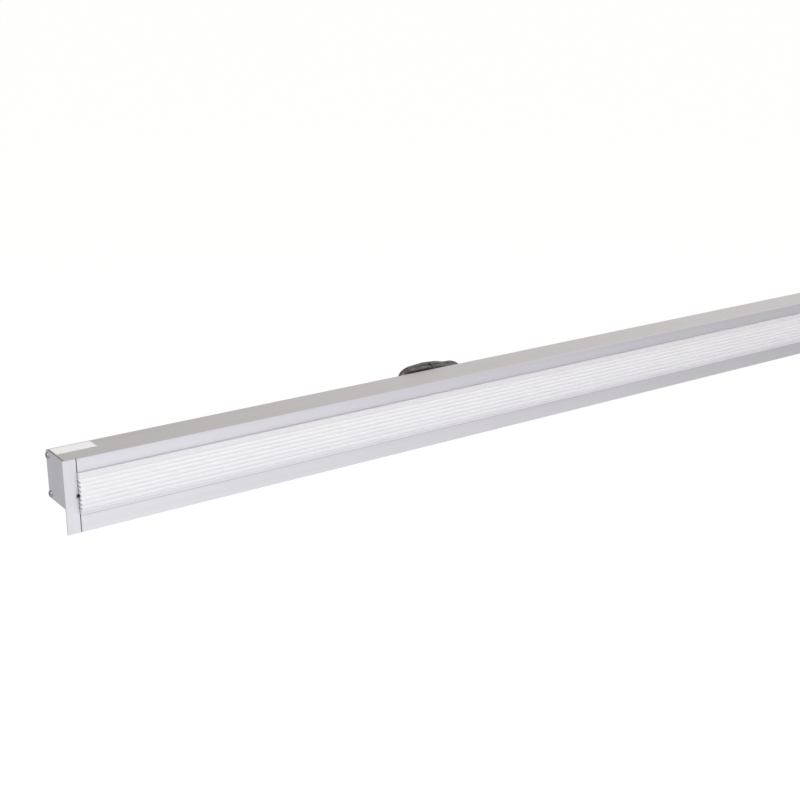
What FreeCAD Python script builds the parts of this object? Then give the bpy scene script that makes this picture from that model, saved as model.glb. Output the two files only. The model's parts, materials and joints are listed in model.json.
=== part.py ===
import FreeCAD
import Part
import math
import os

# Recessed linear light fitting for one slim tube lamp, in millimetres.
# X runs along the fitting, the lit face looks along -Y and +Y points into the recess.
# The origin is midway between the two rear fixing holes, on the outside of the back wall.

Vec = FreeCAD.Vector
X_AXIS = Vec(1, 0, 0)
Y_AXIS = Vec(0, 1, 0)
Z_AXIS = Vec(0, 0, 1)

# Driving sizes: lamp
lamp_length = 1149.0
lamp_diameter = 16.0
glass_wall = 0.8
cap_length = 6.5
cap_wall = 0.4
cap_disc = 1.6
pin_length = 7.1
pin_diameter = 2.37
pin_pitch = 4.75
stem_length = 14.4
stem_radius = 2.7
support_length = 7.2
support_radius = 0.4
support_pitch = 3.0
cathode_length = 5.0
cathode_radius = 0.7
lamp_gap = 0.5
end_room = 20.8

# Driving sizes: housing profile and its face
face_height = 78.0
face_thickness = 2.0
body_height = 52.5
body_depth = 78.0
wall = 1.8
lower_lip = 4.25
seam_gap = 0.6
ledge_width = 8.0
ledge_thickness = 1.6
ledge_depth = 24.8
port_radius = 3.4
port_bore_radius = 1.6
port_inset = 5.05
rear_port_depth = 4.5
rib_gap = 3.2
rib_thickness = 1.6
rib_height = 7.0
snap_groove_width = 2.4
snap_groove_depth = 0.8

# Driving sizes: end caps
end_strip = 13.6
end_plate = 1.2
edge_bevel = 0.3
notch_width = 2.2
notch_height = 4.0
notch_depth = 1.4

# Driving sizes: diffuser
diffuser_proud = 5.0
diffuser_wall = 1.5
diffuser_side_gap = 0.5
diffuser_leg = 17.0
diffuser_corner = 1.1
diffuser_margin = 5.4
rib_count = 7
rib_relief = 0.5
bead_radius = 0.35
pry_notch_height = 4.5

# Driving sizes: lampholders
holder_depth = 10.6
holder_radius = 10.0
holder_stem_width = 14.0
holder_foot_width = 11.0
holder_foot_depth = 7.0
rotor_radius = 6.5
rotor_thickness = 4.0
rotor_inset = 0.5
contact_thickness = 0.4
contact_height = 8.0

# Driving sizes: reflector
sheet = 0.6
reflector_wing = 8.2
reflector_edge_gap = 0.5
reflector_flare = 1.0
lamp_height = 12.7

# Driving sizes: ballast and wiring
ballast_length = 360.0
ballast_width = 30.0
ballast_height = 21.0
ballast_start = 95.6
ballast_flange = 14.0
ballast_skirt = 6.3
ballast_end_skirt = 5.25
ballast_terminal_top = 15.75
ballast_terminal_width = 21.6
ballast_terminal_length = 12.6
board_thickness = 1.6
board_gap = 3.0
block_start = 45.6
block_length = 26.0
block_width = 18.0
block_height = 14.0
core_diameter = 2.2
lead_diameter = 1.8
earth_place = -26.4
core_rise_share = 0.9
core_turn_share = 0.7
pole_pitch = 9.0
clamp_inset = 6.5
entry_depth = 7.8
block_seat = 5.0
lug_radius = 3.4
lug_length = 9.5

# Driving sizes: fixing holes and screws
fixing_spacing = 1000.0
fixing_hole = 6.5
fixing_relief = 24.0
screw_diameter = 3.0
screw_head_diameter = 7.0
screw_head_height = 1.5
end_screw_grip = 9.0
channel_grip = 5.0
small_head_diameter = 5.6
small_head_height = 1.8
recess_width = 0.9
recess_depth = 1.1

# Driving sizes: supply cord, its outlet and its hank
cord_diameter = 6.0
outlet_place = 13.6
outlet_height = 9.0
outlet_neck = 5.0
outlet_flange = 6.9
outlet_base = 8.0
outlet_base_height = 3.0
outlet_radius = 6.6
outlet_tip_radius = 4.2
outlet_taper = 34.0
flange_share = 0.4
groove_count = 5
groove_share = 0.056
first_groove_share = 0.34
groove_pitch_share = 0.12
hank_place = -104.4
hank_top = 34.6
hank_fold = 22.4
hank_run = 54.4
hank_step = 6.8
hank_layer = 6.6
hank_waist = 0.4
hank_turns_in = 2.0
hank_tilt = 4.5
tie_width = 4.8
tie_thickness = 1.2
tie_base_size = 19.0
tie_head_share = 1.35
tie_tail_share = 1.9
tail_core_length = 24.0
core_spread_share = 0.6
near_fan_share = 1.4
end_fan_share = 3.2
ferrule_length = 9.0
ferrule_diameter = 1.7
collar_radius = 1.43
collar_share = 0.3

# Driving sizes: label
label_length = 44.0
label_width = 19.0
label_thickness = 0.15
label_from_end = 1.5
label_from_back = 2.0

# Clearances
fit = 0.1
free_fit = 0.3
overrun = 2.0

# Derived places
face_y = -body_depth
face_back_y = face_y + face_thickness
half_body = body_height / 2
half_face = face_height / 2
inner_z = half_body - wall
inner_y = -wall
upper_edge = inner_z
lower_edge = -inner_z + lower_lip
opening_middle = (upper_edge + lower_edge) / 2
half_lamp = lamp_length / 2
holder_x = half_lamp + lamp_gap
seam_x = holder_x + holder_depth + end_room
profile_x = seam_x - seam_gap
ledge_y = face_y + ledge_depth
tray_y = ledge_y - sheet
lamp_y = tray_y - lamp_height
lamp_z = opening_middle
rib_y = inner_y - rib_height
port_z = half_body - port_inset
front_port_y = ledge_y + port_radius
rear_port_y = -rear_port_depth
rib_z = rib_gap / 2 + rib_thickness
diffuser_y = face_y - diffuser_proud
diffuser_top = upper_edge - diffuser_side_gap
diffuser_bottom = lower_edge + diffuser_side_gap
rib_pitch = (diffuser_top - diffuser_bottom - diffuser_margin * 2) / rib_count
diffuser_end_wall_y = face_back_y + face_thickness
upper_bead_y = diffuser_y + diffuser_leg - snap_groove_width
lower_bead_y = face_back_y + bead_radius + free_fit
outlet_z = -(rib_z + port_z - port_radius) / 2
hank_z = hank_top - hank_fold - cord_diameter / 2
screw_hole_radius = screw_diameter / 2 + fit
entry_y = rib_y - block_height / 2
clamp_y = entry_y - core_diameter
lug_end_x = earth_place + lug_length
sides = {"left": -1, "right": 1}


def block(x0, x1, y0, y1, z0, z1):
    return Part.makeBox(x1 - x0, y1 - y0, z1 - z0, Vec(x0, y0, z0))


def rod(radius, start, end):
    return Part.makeCylinder(radius, (end - start).Length, start, end - start)


def y_rod(radius, x, y0, y1, z):
    return rod(radius, Vec(x, y0, z), Vec(x, y1, z))


def on_plane(low, high, place):
    # Whether a flat edge or face lies in the plane at place, given its least and greatest coordinate.
    return abs(low - place) < fit / 10 and abs(high - place) < fit / 10


def prism(outline, x0, x1):
    points = [Vec(x0, y, z) for y, z in outline]
    face = Part.Face(Part.makePolygon(points + points[:1]))
    return face.extrude(Vec(x1 - x0, 0, 0))


def flip(shape, side):
    # The right-hand piece is modelled, and the left-hand one is its mirror image.
    if side > 0:
        return shape
    return shape.mirror(Vec(0, 0, 0), X_AXIS)


def joined(first, others):
    return first.fuse(others).removeSplitter()


def corner_arc(start, corner, end):
    # An edge that leaves start towards corner and arrives at end from it, with equal legs.
    middle = (start + end) * 0.5
    height = (middle - corner).Length
    half_chord = (end - start).Length / 2
    leg = (start - corner).Length
    if height < leg / 1000:
        return Part.LineSegment(start, end).toShape()
    radius = half_chord * leg / height
    reach = math.sqrt(leg * leg + radius * radius) - radius
    top = corner + (middle - corner) * (reach / height)
    return Part.Arc(start, top, end).toShape()


def rounded_route(points, name, diameter):
    # Straight runs joined by arcs as large as their two runs allow.
    corner_share = 0.45
    edges = []
    radii = []
    here = points[0]
    for index in range(1, len(points) - 1):
        before = points[index] - points[index - 1]
        after = points[index + 1] - points[index]
        half_turn = before.getAngle(after) / 2
        leg = corner_share * min(before.Length, after.Length)
        radii.append(leg / math.tan(half_turn))
        arc_start = points[index] - before * (leg / before.Length)
        arc_end = points[index] + after * (leg / after.Length)
        edges.append(Part.LineSegment(here, arc_start).toShape())
        edges.append(corner_arc(arc_start, points[index], arc_end))
        here = arc_end
    edges.append(Part.LineSegment(here, points[-1]).toShape())
    least = min(radii) / diameter
    print("%s: bend radii %s mm, least %.1f diameters" % (name, ["%.0f" % r for r in radii], least))
    return Part.Wire(edges)


def swept(path, diameter, name):
    start = path.OrderedVertexes[0].Point
    first = path.OrderedEdges[0]
    head = first.valueAt(first.FirstParameter)
    foot = first.valueAt(first.LastParameter)
    heading = first.tangentAt(first.FirstParameter)
    if (head - start).Length > (foot - start).Length:
        heading = first.tangentAt(first.LastParameter) * -1
    ring = Part.Wire([Part.Circle(start, heading, diameter / 2).toShape()])
    maker = Part.BRepOffsetAPI.MakePipeShell(path)
    maker.add(ring)
    maker.build()
    maker.makeSolid()
    solid = maker.shape()
    share = solid.Volume / (math.pi * diameter * diameter / 4 * path.Length)
    print("%s: %.0f mm long, volume %.4f of section times length" % (name, path.Length, share))
    return solid


def wire_tube(points, diameter, name):
    return swept(rounded_route(points, name, diameter), diameter, name)


def pan_screw(head_face, direction, length, diameter, head_diameter, head_height):
    # The head stands on head_face, the shank runs from it along direction, and the recess is a cross.
    dome_share = 0.6
    cross_share = 0.32
    shank = Part.makeCylinder(diameter / 2, length, head_face, direction)
    head = Part.makeCylinder(head_diameter / 2, head_height, head_face, direction * -1)
    top = head_face - direction * head_height
    rim = [edge for edge in head.Edges if (edge.CenterOfMass - top).Length < head_height / 10]
    head = head.makeFillet(head_height * dome_share, rim)
    screw = head.fuse(shank).removeSplitter()
    half_width = recess_width / 2
    half_length = head_diameter * cross_share
    place = FreeCAD.Placement(top, FreeCAD.Rotation(Z_AXIS, direction))
    for turn in (0, 90):
        slot = block(-half_width, half_width, -half_length, half_length, -recess_depth, recess_depth)
        slot.rotate(Vec(0, 0, 0), Z_AXIS, turn)
        slot.Placement = place.multiply(slot.Placement)
        screw = screw.cut(slot)
    return screw


# Housing

def port_places():
    places = []
    for z_sign in (-1, 1):
        places.append((rear_port_y, z_sign * port_z))
        places.append((front_port_y, z_sign * port_z))
    return places


def reflector_screw_places():
    # Four pairs along the lamp, past the middle of each ledge.
    shares = (-0.93, -0.31, 0.31, 0.93)
    ledge_share = 0.68
    z_place = inner_z - ledge_width * ledge_share
    places = []
    for share in shares:
        for z_sign in (-1, 1):
            places.append((share * half_lamp, z_sign * z_place))
    return places


def ballast_screw_places():
    return [ballast_start + ballast_flange / 2, ballast_start + ballast_length - ballast_flange / 2]


def side_outline(z_sign, lip):
    # One wall with its face strip, and the lip that reaches past the wall's inside.
    outline = [
        (face_y, z_sign * (inner_z - lip)),
        (face_y, z_sign * half_face),
        (face_back_y, z_sign * half_face),
        (face_back_y, z_sign * half_body),
        (0, z_sign * half_body),
        (0, z_sign * inner_z),
    ]
    if lip > 0:
        outline.append((face_back_y, z_sign * inner_z))
        outline.append((face_back_y, z_sign * (inner_z - lip)))
    return outline


def housing_profile():
    x0 = -profile_x
    x1 = profile_x
    pieces = [prism(side_outline(1, 0), x0, x1), prism(side_outline(-1, lower_lip), x0, x1)]
    for z_sign in (-1, 1):
        ledge_low = min(z_sign * inner_z, z_sign * (inner_z - ledge_width))
        pieces.append(block(x0, x1, ledge_y, ledge_y + ledge_thickness, ledge_low, ledge_low + ledge_width))
        rib_low = min(z_sign * rib_gap / 2, z_sign * rib_z)
        pieces.append(block(x0, x1, rib_y, inner_y, rib_low, rib_low + rib_thickness))
    for y, z in port_places():
        pieces.append(rod(port_radius, Vec(x0, y, z), Vec(x1, y, z)))
    back = block(x0, x1, inner_y, 0, -inner_z, inner_z)
    profile = joined(back, pieces)
    for y, z in port_places():
        profile = profile.cut(rod(port_bore_radius, Vec(x0 - overrun, y, z), Vec(x1 + overrun, y, z)))
    outside = block(x0 - overrun, x1 + overrun, face_y, 0, -half_face, half_face)
    return profile.common(outside)


def with_housing_holes(profile):
    half_spacing = fixing_spacing / 2
    half_relief = fixing_relief / 2
    relief_z = rib_z + fit
    for x in (-half_spacing, half_spacing):
        relief = block(x - half_relief, x + half_relief, rib_y - overrun, inner_y, -relief_z, relief_z)
        profile = profile.cut([relief, y_rod(fixing_hole / 2, x, inner_y - overrun, overrun, 0)])
    profile = profile.cut(y_rod(outlet_neck + fit, outlet_place, inner_y - overrun, overrun, outlet_z))
    for x, z in reflector_screw_places():
        low = ledge_y - overrun
        high = ledge_y + ledge_thickness + overrun
        profile = profile.cut(y_rod(screw_hole_radius, x, low, high, z))
    half_groove = snap_groove_width / 2
    groove_x = profile_x + overrun
    groove_y = upper_bead_y - half_groove
    groove_end_y = upper_bead_y + half_groove
    groove_z = inner_z + snap_groove_depth
    return profile.cut(block(-groove_x, groove_x, groove_y, groove_end_y, inner_z - overrun, groove_z))


def eased_face(profile):
    # The face's outer long edges are slightly rounded, as an extrusion's are.
    edges = []
    for edge in profile.Edges:
        box = edge.BoundBox
        on_face = on_plane(box.YMin, box.YMax, face_y)
        outer = on_plane(abs(box.ZMin), abs(box.ZMax), half_face)
        if on_face and outer:
            edges.append(edge)
    return profile.makeFillet(edge_bevel * 2, edges)


# End caps

def end_cap(side):
    outer_x = seam_x + end_strip
    plate_x = seam_x + end_plate
    plate = block(seam_x, plate_x, face_back_y - fit, 0, -half_body, half_body)
    strip = block(seam_x, outer_x, face_y, face_back_y, -half_face, half_face)
    rounded = []
    for edge in strip.Edges:
        box = edge.BoundBox
        at_seam = on_plane(box.XMin, box.XMax, seam_x)
        if on_plane(box.YMin, box.YMax, face_y) and not at_seam:
            rounded.append(edge)
    strip = strip.makeFillet(edge_bevel * 2, rounded)
    bevelled = []
    for edge in plate.Edges:
        box = edge.BoundBox
        if on_plane(box.XMin, box.XMax, plate_x) and box.YMax > face_back_y:
            bevelled.append(edge)
    plate = plate.makeChamfer(edge_bevel, bevelled)
    cap = joined(plate, [strip])
    half_notch = notch_height / 2
    notch_x = seam_x + notch_width
    notch_y = face_y + notch_depth
    cap = cap.cut(block(seam_x - overrun, notch_x, face_y - overrun, notch_y, -half_notch, half_notch))
    for y, z in port_places():
        hole = rod(screw_hole_radius, Vec(seam_x - overrun, y, z), Vec(plate_x + overrun, y, z))
        cap = cap.cut(hole)
    return flip(cap, side)


def end_cap_screws(side):
    length = end_plate + seam_gap + end_screw_grip
    back = X_AXIS * -1
    screws = []
    for y, z in port_places():
        seat = Vec(seam_x + end_plate, y, z)
        screw = pan_screw(seat, back, length, screw_diameter, screw_head_diameter, screw_head_height)
        screws.append(flip(screw, side))
    return Part.makeCompound(screws)


# Diffuser

def diffuser_front():
    # The outside of the front from its upper to its lower corner: shallow ribs between flat margins.
    corner = diffuser_corner
    top = diffuser_top
    bottom = diffuser_bottom
    first = diffuser_top - diffuser_margin
    high_corner = Vec(0, diffuser_y, top - corner)
    margin_end = Vec(0, diffuser_y, first + rib_relief)
    here = Vec(0, diffuser_y + rib_relief, first)
    edges = [
        corner_arc(Vec(0, diffuser_y + corner, top), Vec(0, diffuser_y, top), high_corner),
        Part.LineSegment(high_corner, margin_end).toShape(),
        Part.LineSegment(margin_end, here).toShape(),
    ]
    for index in range(rib_count):
        end = Vec(0, diffuser_y + rib_relief, first - rib_pitch * (index + 1))
        crest = Vec(0, diffuser_y, first - rib_pitch * (index + 0.5))
        edges.append(Part.Arc(here, crest, end).toShape())
        here = end
    margin_start = Vec(0, diffuser_y, here.z - rib_relief)
    low_corner = Vec(0, diffuser_y, bottom + corner)
    edges.append(Part.LineSegment(here, margin_start).toShape())
    edges.append(Part.LineSegment(margin_start, low_corner).toShape())
    edges.append(corner_arc(low_corner, Vec(0, diffuser_y, bottom), Vec(0, diffuser_y + corner, bottom)))
    return edges


def diffuser_section(hollow):
    back_y = diffuser_y + diffuser_leg
    inside_y = diffuser_y + rib_relief + diffuser_wall
    top = diffuser_top
    bottom = diffuser_bottom
    edges = diffuser_front()
    trail = [Vec(0, diffuser_y + diffuser_corner, bottom), Vec(0, back_y, bottom)]
    if hollow:
        trail.append(Vec(0, back_y, bottom + diffuser_wall))
        trail.append(Vec(0, inside_y, bottom + diffuser_wall))
        trail.append(Vec(0, inside_y, top - diffuser_wall))
        trail.append(Vec(0, back_y, top - diffuser_wall))
    trail.append(Vec(0, back_y, top))
    trail.append(Vec(0, diffuser_y + diffuser_corner, top))
    for start, end in zip(trail, trail[1:]):
        edges.append(Part.LineSegment(start, end).toShape())
    return Part.Face(Part.Wire(Part.sortEdges(edges)[0]))


def diffuser():
    # A ribbed front with two legs, a low wall and a prying notch at each end, and a bead along each leg.
    half = seam_x - seam_gap
    section = diffuser_section(True)
    section.translate(Vec(-half, 0, 0))
    cover = section.extrude(Vec(half * 2, 0, 0))
    pieces = []
    for sign in sides.values():
        low = min(sign * half, sign * (half - diffuser_wall))
        end_face = diffuser_section(False)
        end_face.translate(Vec(low, 0, 0))
        end_wall = end_face.extrude(Vec(diffuser_wall, 0, 0))
        wall_room = block(-half, half, diffuser_y, diffuser_end_wall_y, diffuser_bottom, diffuser_top)
        pieces.append(end_wall.common(wall_room))
    bead_end = half - diffuser_wall
    for y, z in ((upper_bead_y, diffuser_top), (lower_bead_y, diffuser_bottom)):
        pieces.append(rod(bead_radius, Vec(-bead_end, y, z), Vec(bead_end, y, z)))
    cover = joined(cover, pieces)
    notch_y = diffuser_y + rib_relief + diffuser_wall
    half_notch = pry_notch_height / 2
    for sign in sides.values():
        low = min(sign * (half - diffuser_wall - overrun), sign * (half + overrun))
        high = low + diffuser_wall + overrun * 2
        notch_end_y = diffuser_end_wall_y + overrun
        cover = cover.cut(block(low, high, notch_y, notch_end_y, -half_notch, half_notch))
    return cover


# Lamp

def lamp_point(x):
    return Vec(x, lamp_y, lamp_z)


def lamp_tube():
    radius = lamp_diameter / 2
    neck_radius = radius - cap_wall - fit
    shoulder = half_lamp - cap_length - fit
    neck_end = half_lamp - cap_disc - free_fit
    glass = rod(radius, lamp_point(-shoulder), lamp_point(shoulder))
    neck = rod(neck_radius, lamp_point(-neck_end), lamp_point(neck_end))
    glass = joined(glass, [neck])
    bore_end = shoulder - glass_wall
    neck_bore_end = neck_end - glass_wall
    bore = rod(radius - glass_wall, lamp_point(-bore_end), lamp_point(bore_end))
    neck_bore = rod(neck_radius - glass_wall, lamp_point(-neck_bore_end), lamp_point(neck_bore_end))
    return glass.cut(bore.fuse(neck_bore))


def pin_places():
    return [(half_lamp, lamp_z + sign * pin_pitch / 2) for sign in (-1, 1)]


def lamp_cap(side):
    radius = lamp_diameter / 2
    start = half_lamp - cap_length
    face = lamp_point(half_lamp)
    cap = rod(radius, lamp_point(start), face)
    rim = [edge for edge in cap.Edges if (edge.CenterOfMass - face).Length < fit]
    cap = cap.makeFillet(cap_wall, rim)
    cap = cap.cut(rod(radius - cap_wall, lamp_point(start - overrun), lamp_point(half_lamp - cap_disc)))
    for x, z in pin_places():
        hole = rod(pin_diameter / 2 + fit / 2, Vec(start, lamp_y, z), Vec(x + overrun, lamp_y, z))
        cap = cap.cut(hole)
    return flip(cap, side)


def lamp_pins(side):
    tip_share = 0.3
    pins = []
    for x, z in pin_places():
        end = Vec(x + pin_length, lamp_y, z)
        pin = rod(pin_diameter / 2, Vec(x - cap_disc, lamp_y, z), end)
        tip = [edge for edge in pin.Edges if (edge.CenterOfMass - end).Length < fit]
        pin = pin.makeFillet(pin_diameter * tip_share, tip)
        pins.append(flip(pin, side))
    return Part.makeCompound(pins)


def lamp_electrode(side):
    # Stem, two support wires and the coiled cathode between them, inside the glass.
    start = half_lamp - cap_disc - free_fit - glass_wall
    stem_end = start - stem_length
    wire_end = stem_end - support_length
    stem = rod(stem_radius, lamp_point(start), lamp_point(stem_end))
    pieces = []
    for sign in (-1, 1):
        z = lamp_z + sign * support_pitch / 2
        seat = stem_end + support_radius
        pieces.append(rod(support_radius, Vec(seat, lamp_y, z), Vec(wire_end, lamp_y, z)))
    low = Vec(wire_end, lamp_y, lamp_z - cathode_length / 2)
    high = Vec(wire_end, lamp_y, lamp_z + cathode_length / 2)
    pieces.append(rod(cathode_radius, low, high))
    return flip(joined(stem, pieces), side)


# Lampholders

def rotor_start():
    return holder_x + rotor_inset


def rotor_end():
    return rotor_start() + rotor_thickness


def well_end():
    return half_lamp + pin_length + lamp_gap * 2


def lampholder(side):
    x0 = holder_x
    x1 = holder_x + holder_depth
    foot_x = x0 + lamp_gap + fit
    foot_end_x = x1 - lamp_gap - fit
    foot_y = tray_y + holder_foot_depth
    half_stem = holder_stem_width / 2
    half_foot = holder_foot_width / 2
    head = rod(holder_radius, lamp_point(x0), lamp_point(x1))
    stem = block(x0, x1, lamp_y, tray_y, lamp_z - half_stem, lamp_z + half_stem)
    foot = block(foot_x, foot_end_x, tray_y - fit, foot_y, lamp_z - half_foot, lamp_z + half_foot)
    holder = joined(head, [stem, foot])
    bore = rod(rotor_radius + free_fit, lamp_point(x0 - overrun), lamp_point(rotor_end() + free_fit))
    well = rod(rotor_radius - lamp_gap, lamp_point(x0), lamp_point(well_end()))
    half_slot = pin_diameter / 2 + free_fit
    slot_y = lamp_y - holder_radius - overrun
    slot = block(x0 - overrun, well_end(), slot_y, lamp_y, lamp_z - half_slot, lamp_z + half_slot)
    holder = holder.cut([bore, well, slot])
    return flip(holder, side)


def lampholder_rotor(side):
    # The slot lies along Z with the lamp locked in and along Y with the lamp ready to leave.
    disc = rod(rotor_radius, lamp_point(rotor_start()), lamp_point(rotor_end()))
    half_slot = pin_diameter / 2 + fit
    floor = pin_pitch / 2 + half_slot
    x0 = rotor_start() - overrun
    x1 = rotor_end() + overrun
    open_z = lamp_z + rotor_radius + overrun
    slot = block(x0, x1, lamp_y - half_slot, lamp_y + half_slot, lamp_z - floor, open_z)
    return flip(disc.cut(slot), side)


def lampholder_contacts(side):
    start = rotor_end() + free_fit
    end = well_end() - fit
    clear = pin_pitch / 2 + pin_diameter / 2 + fit
    leaves = []
    for sign in (-1, 1):
        low = lamp_z + min(sign * clear, sign * (clear + contact_thickness))
        half = contact_height / 2
        leaf = block(start, end, lamp_y - half, lamp_y + half, low, low + contact_thickness)
        leaves.append(flip(leaf, side))
    return Part.makeCompound(leaves)


# Reflector

def reflector():
    half = profile_x - end_plate / 2
    edge = inner_z - reflector_edge_gap
    flat = edge - reflector_flare
    tip_y = tray_y - reflector_wing
    outline = [
        (tip_y, -edge),
        (tray_y + sheet, -flat),
        (tray_y + sheet, flat),
        (tip_y, edge),
        (tip_y, edge - sheet),
        (tray_y, flat - sheet),
        (tray_y, -flat + sheet),
        (tip_y, -edge + sheet),
    ]
    tray = prism(outline, -half, half)
    low_y = tray_y - overrun
    high_y = tray_y + sheet + overrun
    for x, z in reflector_screw_places():
        tray = tray.cut(y_rod(screw_hole_radius, x, low_y, high_y, z))
    half_foot = holder_foot_width / 2 + fit
    near_x = holder_x + lamp_gap
    far_x = holder_x + holder_depth - lamp_gap
    for sign in sides.values():
        low_x = min(sign * near_x, sign * far_x)
        high_x = max(sign * near_x, sign * far_x)
        tray = tray.cut(block(low_x, high_x, low_y, high_y, lamp_z - half_foot, lamp_z + half_foot))
    return tray


def small_screw(seat, length):
    return pan_screw(seat, Y_AXIS, length, screw_diameter, small_head_diameter, small_head_height)


def reflector_screws():
    length = sheet + ledge_thickness + sheet
    return Part.makeCompound([small_screw(Vec(x, tray_y, z), length) for x, z in reflector_screw_places()])


# Ballast

def ballast_case():
    x0 = ballast_start
    x1 = ballast_start + ballast_length
    half = ballast_width / 2
    rim_y = rib_y - ballast_height + sheet
    floor = block(x0, x1, rib_y - sheet, rib_y, -half, half)
    pieces = []
    for z in (-half, half - sheet):
        pieces.append(block(x0 + ballast_flange, x1 - ballast_flange, rim_y, rib_y, z, z + sheet))
    case = joined(floor, pieces)
    for x in ballast_screw_places():
        case = case.cut(y_rod(screw_hole_radius, x, rib_y - overrun, rib_y + overrun, 0))
    return case


def ballast_cover():
    x0 = ballast_start + ballast_flange
    x1 = ballast_start + ballast_length - ballast_flange
    half = ballast_width / 2 - sheet - fit
    top_y = rib_y - ballast_height
    end_y = top_y + ballast_end_skirt
    cover = block(x0, x1, top_y, top_y + sheet, -half - sheet, half + sheet)
    pieces = []
    for z in (-half, half - sheet):
        pieces.append(block(x0, x1, top_y, top_y + ballast_skirt, z, z + sheet))
    for x in (x0, x1 - sheet):
        pieces.append(block(x, x + sheet, top_y, end_y, -half, half))
    return joined(cover, pieces)


def ballast_inner_x():
    return ballast_start + ballast_flange + sheet * 2


def ballast_inner_length():
    return ballast_length - ballast_flange * 2 - sheet * 4


def board_top():
    return rib_y - sheet - board_gap - board_thickness


def ballast_board():
    x0 = ballast_start + ballast_flange + sheet
    x1 = ballast_start + ballast_length - ballast_flange - sheet
    half = ballast_width / 2 - sheet - free_fit
    board = block(x0, x1, board_top(), board_top() + board_thickness, -half, half)
    inset = ballast_terminal_length / 2
    post_y = board_top() + board_thickness / 2
    posts = [y_rod(board_gap / 2, x, post_y, rib_y - sheet, 0) for x in (x0 + inset, x1 - inset)]
    return joined(board, posts)


def ballast_components():
    # Choke, transformer and film capacitor as blocks, and two electrolytic capacitors as cans.
    x0 = ballast_start + ballast_flange
    span = ballast_length - 2 * ballast_flange
    room = board_top() - (rib_y - ballast_height + sheet)
    seat_y = board_top()
    pieces = []
    can_shares = (0.29, 0.60)
    can_radius_share = 0.4
    block_shares = ((0.16, 0.055, 0.30, 0.80), (0.42, 0.065, 0.34, 0.85), (0.78, 0.045, 0.22, 0.70))
    for place_share, length_share, width_share, height_share in block_shares:
        x = x0 + span * place_share
        half_length = span * length_share / 2
        half_width = ballast_width * width_share
        low_y = seat_y - room * height_share
        pieces.append(block(x - half_length, x + half_length, low_y, seat_y, -half_width, half_width))
    can_radius = room * can_radius_share
    for place_share in can_shares:
        start = Vec(x0 + span * place_share, seat_y - can_radius, 0)
        pieces.append(rod(can_radius, start, start + X_AXIS * (can_radius * 3)))
    return Part.makeCompound(pieces)


def ballast_terminals():
    # Push-in terminals stand on the board at both ends of the case.
    top_y = rib_y - ballast_terminal_top
    half = ballast_terminal_width / 2
    length = ballast_terminal_length
    low_x = ballast_inner_x()
    starts = (low_x, low_x + ballast_inner_length() - length)
    return Part.makeCompound([block(x, x + length, top_y, board_top(), -half, half) for x in starts])


def ballast_screws():
    seats = [Vec(x, rib_y - sheet, 0) for x in ballast_screw_places()]
    return Part.makeCompound([small_screw(seat, channel_grip) for seat in seats])


# Supply terminals and wiring

def pole_places():
    return [sign * pole_pitch / 2 for sign in (-1, 1)]


def clamp_places():
    # Two clamping screws on each pole, one for each end of the block.
    places = []
    for x in (block_start + clamp_inset, block_start + block_length - clamp_inset):
        for z in pole_places():
            places.append((x, z))
    return places


def terminal_block():
    x0 = block_start
    x1 = block_start + block_length
    top_y = rib_y - block_height
    half = block_width / 2
    body = block(x0, x1, top_y, rib_y, -half, half)
    top_edges = []
    for edge in body.Edges:
        if on_plane(edge.BoundBox.YMin, edge.BoundBox.YMax, top_y):
            top_edges.append(edge)
    body = body.makeChamfer(edge_bevel * 2, top_edges)
    entry_radius = core_diameter / 2 + free_fit
    for z in pole_places():
        body = body.cut(rod(entry_radius, Vec(x0 - overrun, entry_y, z), Vec(x0 + entry_depth, entry_y, z)))
        body = body.cut(rod(entry_radius, Vec(x1 + overrun, entry_y, z), Vec(x1 - entry_depth, entry_y, z)))
    for x, z in clamp_places():
        body = body.cut(y_rod(screw_hole_radius, x, top_y - overrun, clamp_y, z))
    middle = (x0 + x1) / 2
    sink_radius = small_head_diameter / 2 + fit
    body = body.cut(y_rod(sink_radius, middle, top_y - overrun, rib_y - block_seat, 0))
    return body.cut(y_rod(screw_hole_radius, middle, top_y, rib_y + overrun, 0))


def terminal_screws():
    # Four clamping screws and the one that holds the block in the screw channel.
    top_y = rib_y - block_height
    half_recess = recess_width / 2
    recess_y = top_y + edge_bevel + recess_depth
    radius = screw_diameter / 2
    screws = []
    for x, z in clamp_places():
        grub = y_rod(radius, x, top_y + edge_bevel, clamp_y - fit, z)
        slot = block(x - radius * 2, x + radius * 2, top_y, recess_y, z - half_recess, z + half_recess)
        screws.append(grub.cut(slot))
    seat = Vec(block_start + block_length / 2, rib_y - block_seat, 0)
    screws.append(small_screw(seat, block_seat + channel_grip))
    return Part.makeCompound(screws)


def earth_lug():
    ring = y_rod(lug_radius, earth_place, rib_y - sheet, rib_y, 0)
    half = core_diameter / 2
    tongue = block(earth_place, lug_end_x, rib_y - sheet, rib_y, -half, half)
    lug = joined(ring, [tongue])
    return lug.cut(y_rod(screw_hole_radius, earth_place, rib_y - overrun, rib_y + overrun, 0))


def earth_screw():
    return small_screw(Vec(earth_place, rib_y - sheet, 0), channel_grip)


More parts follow.
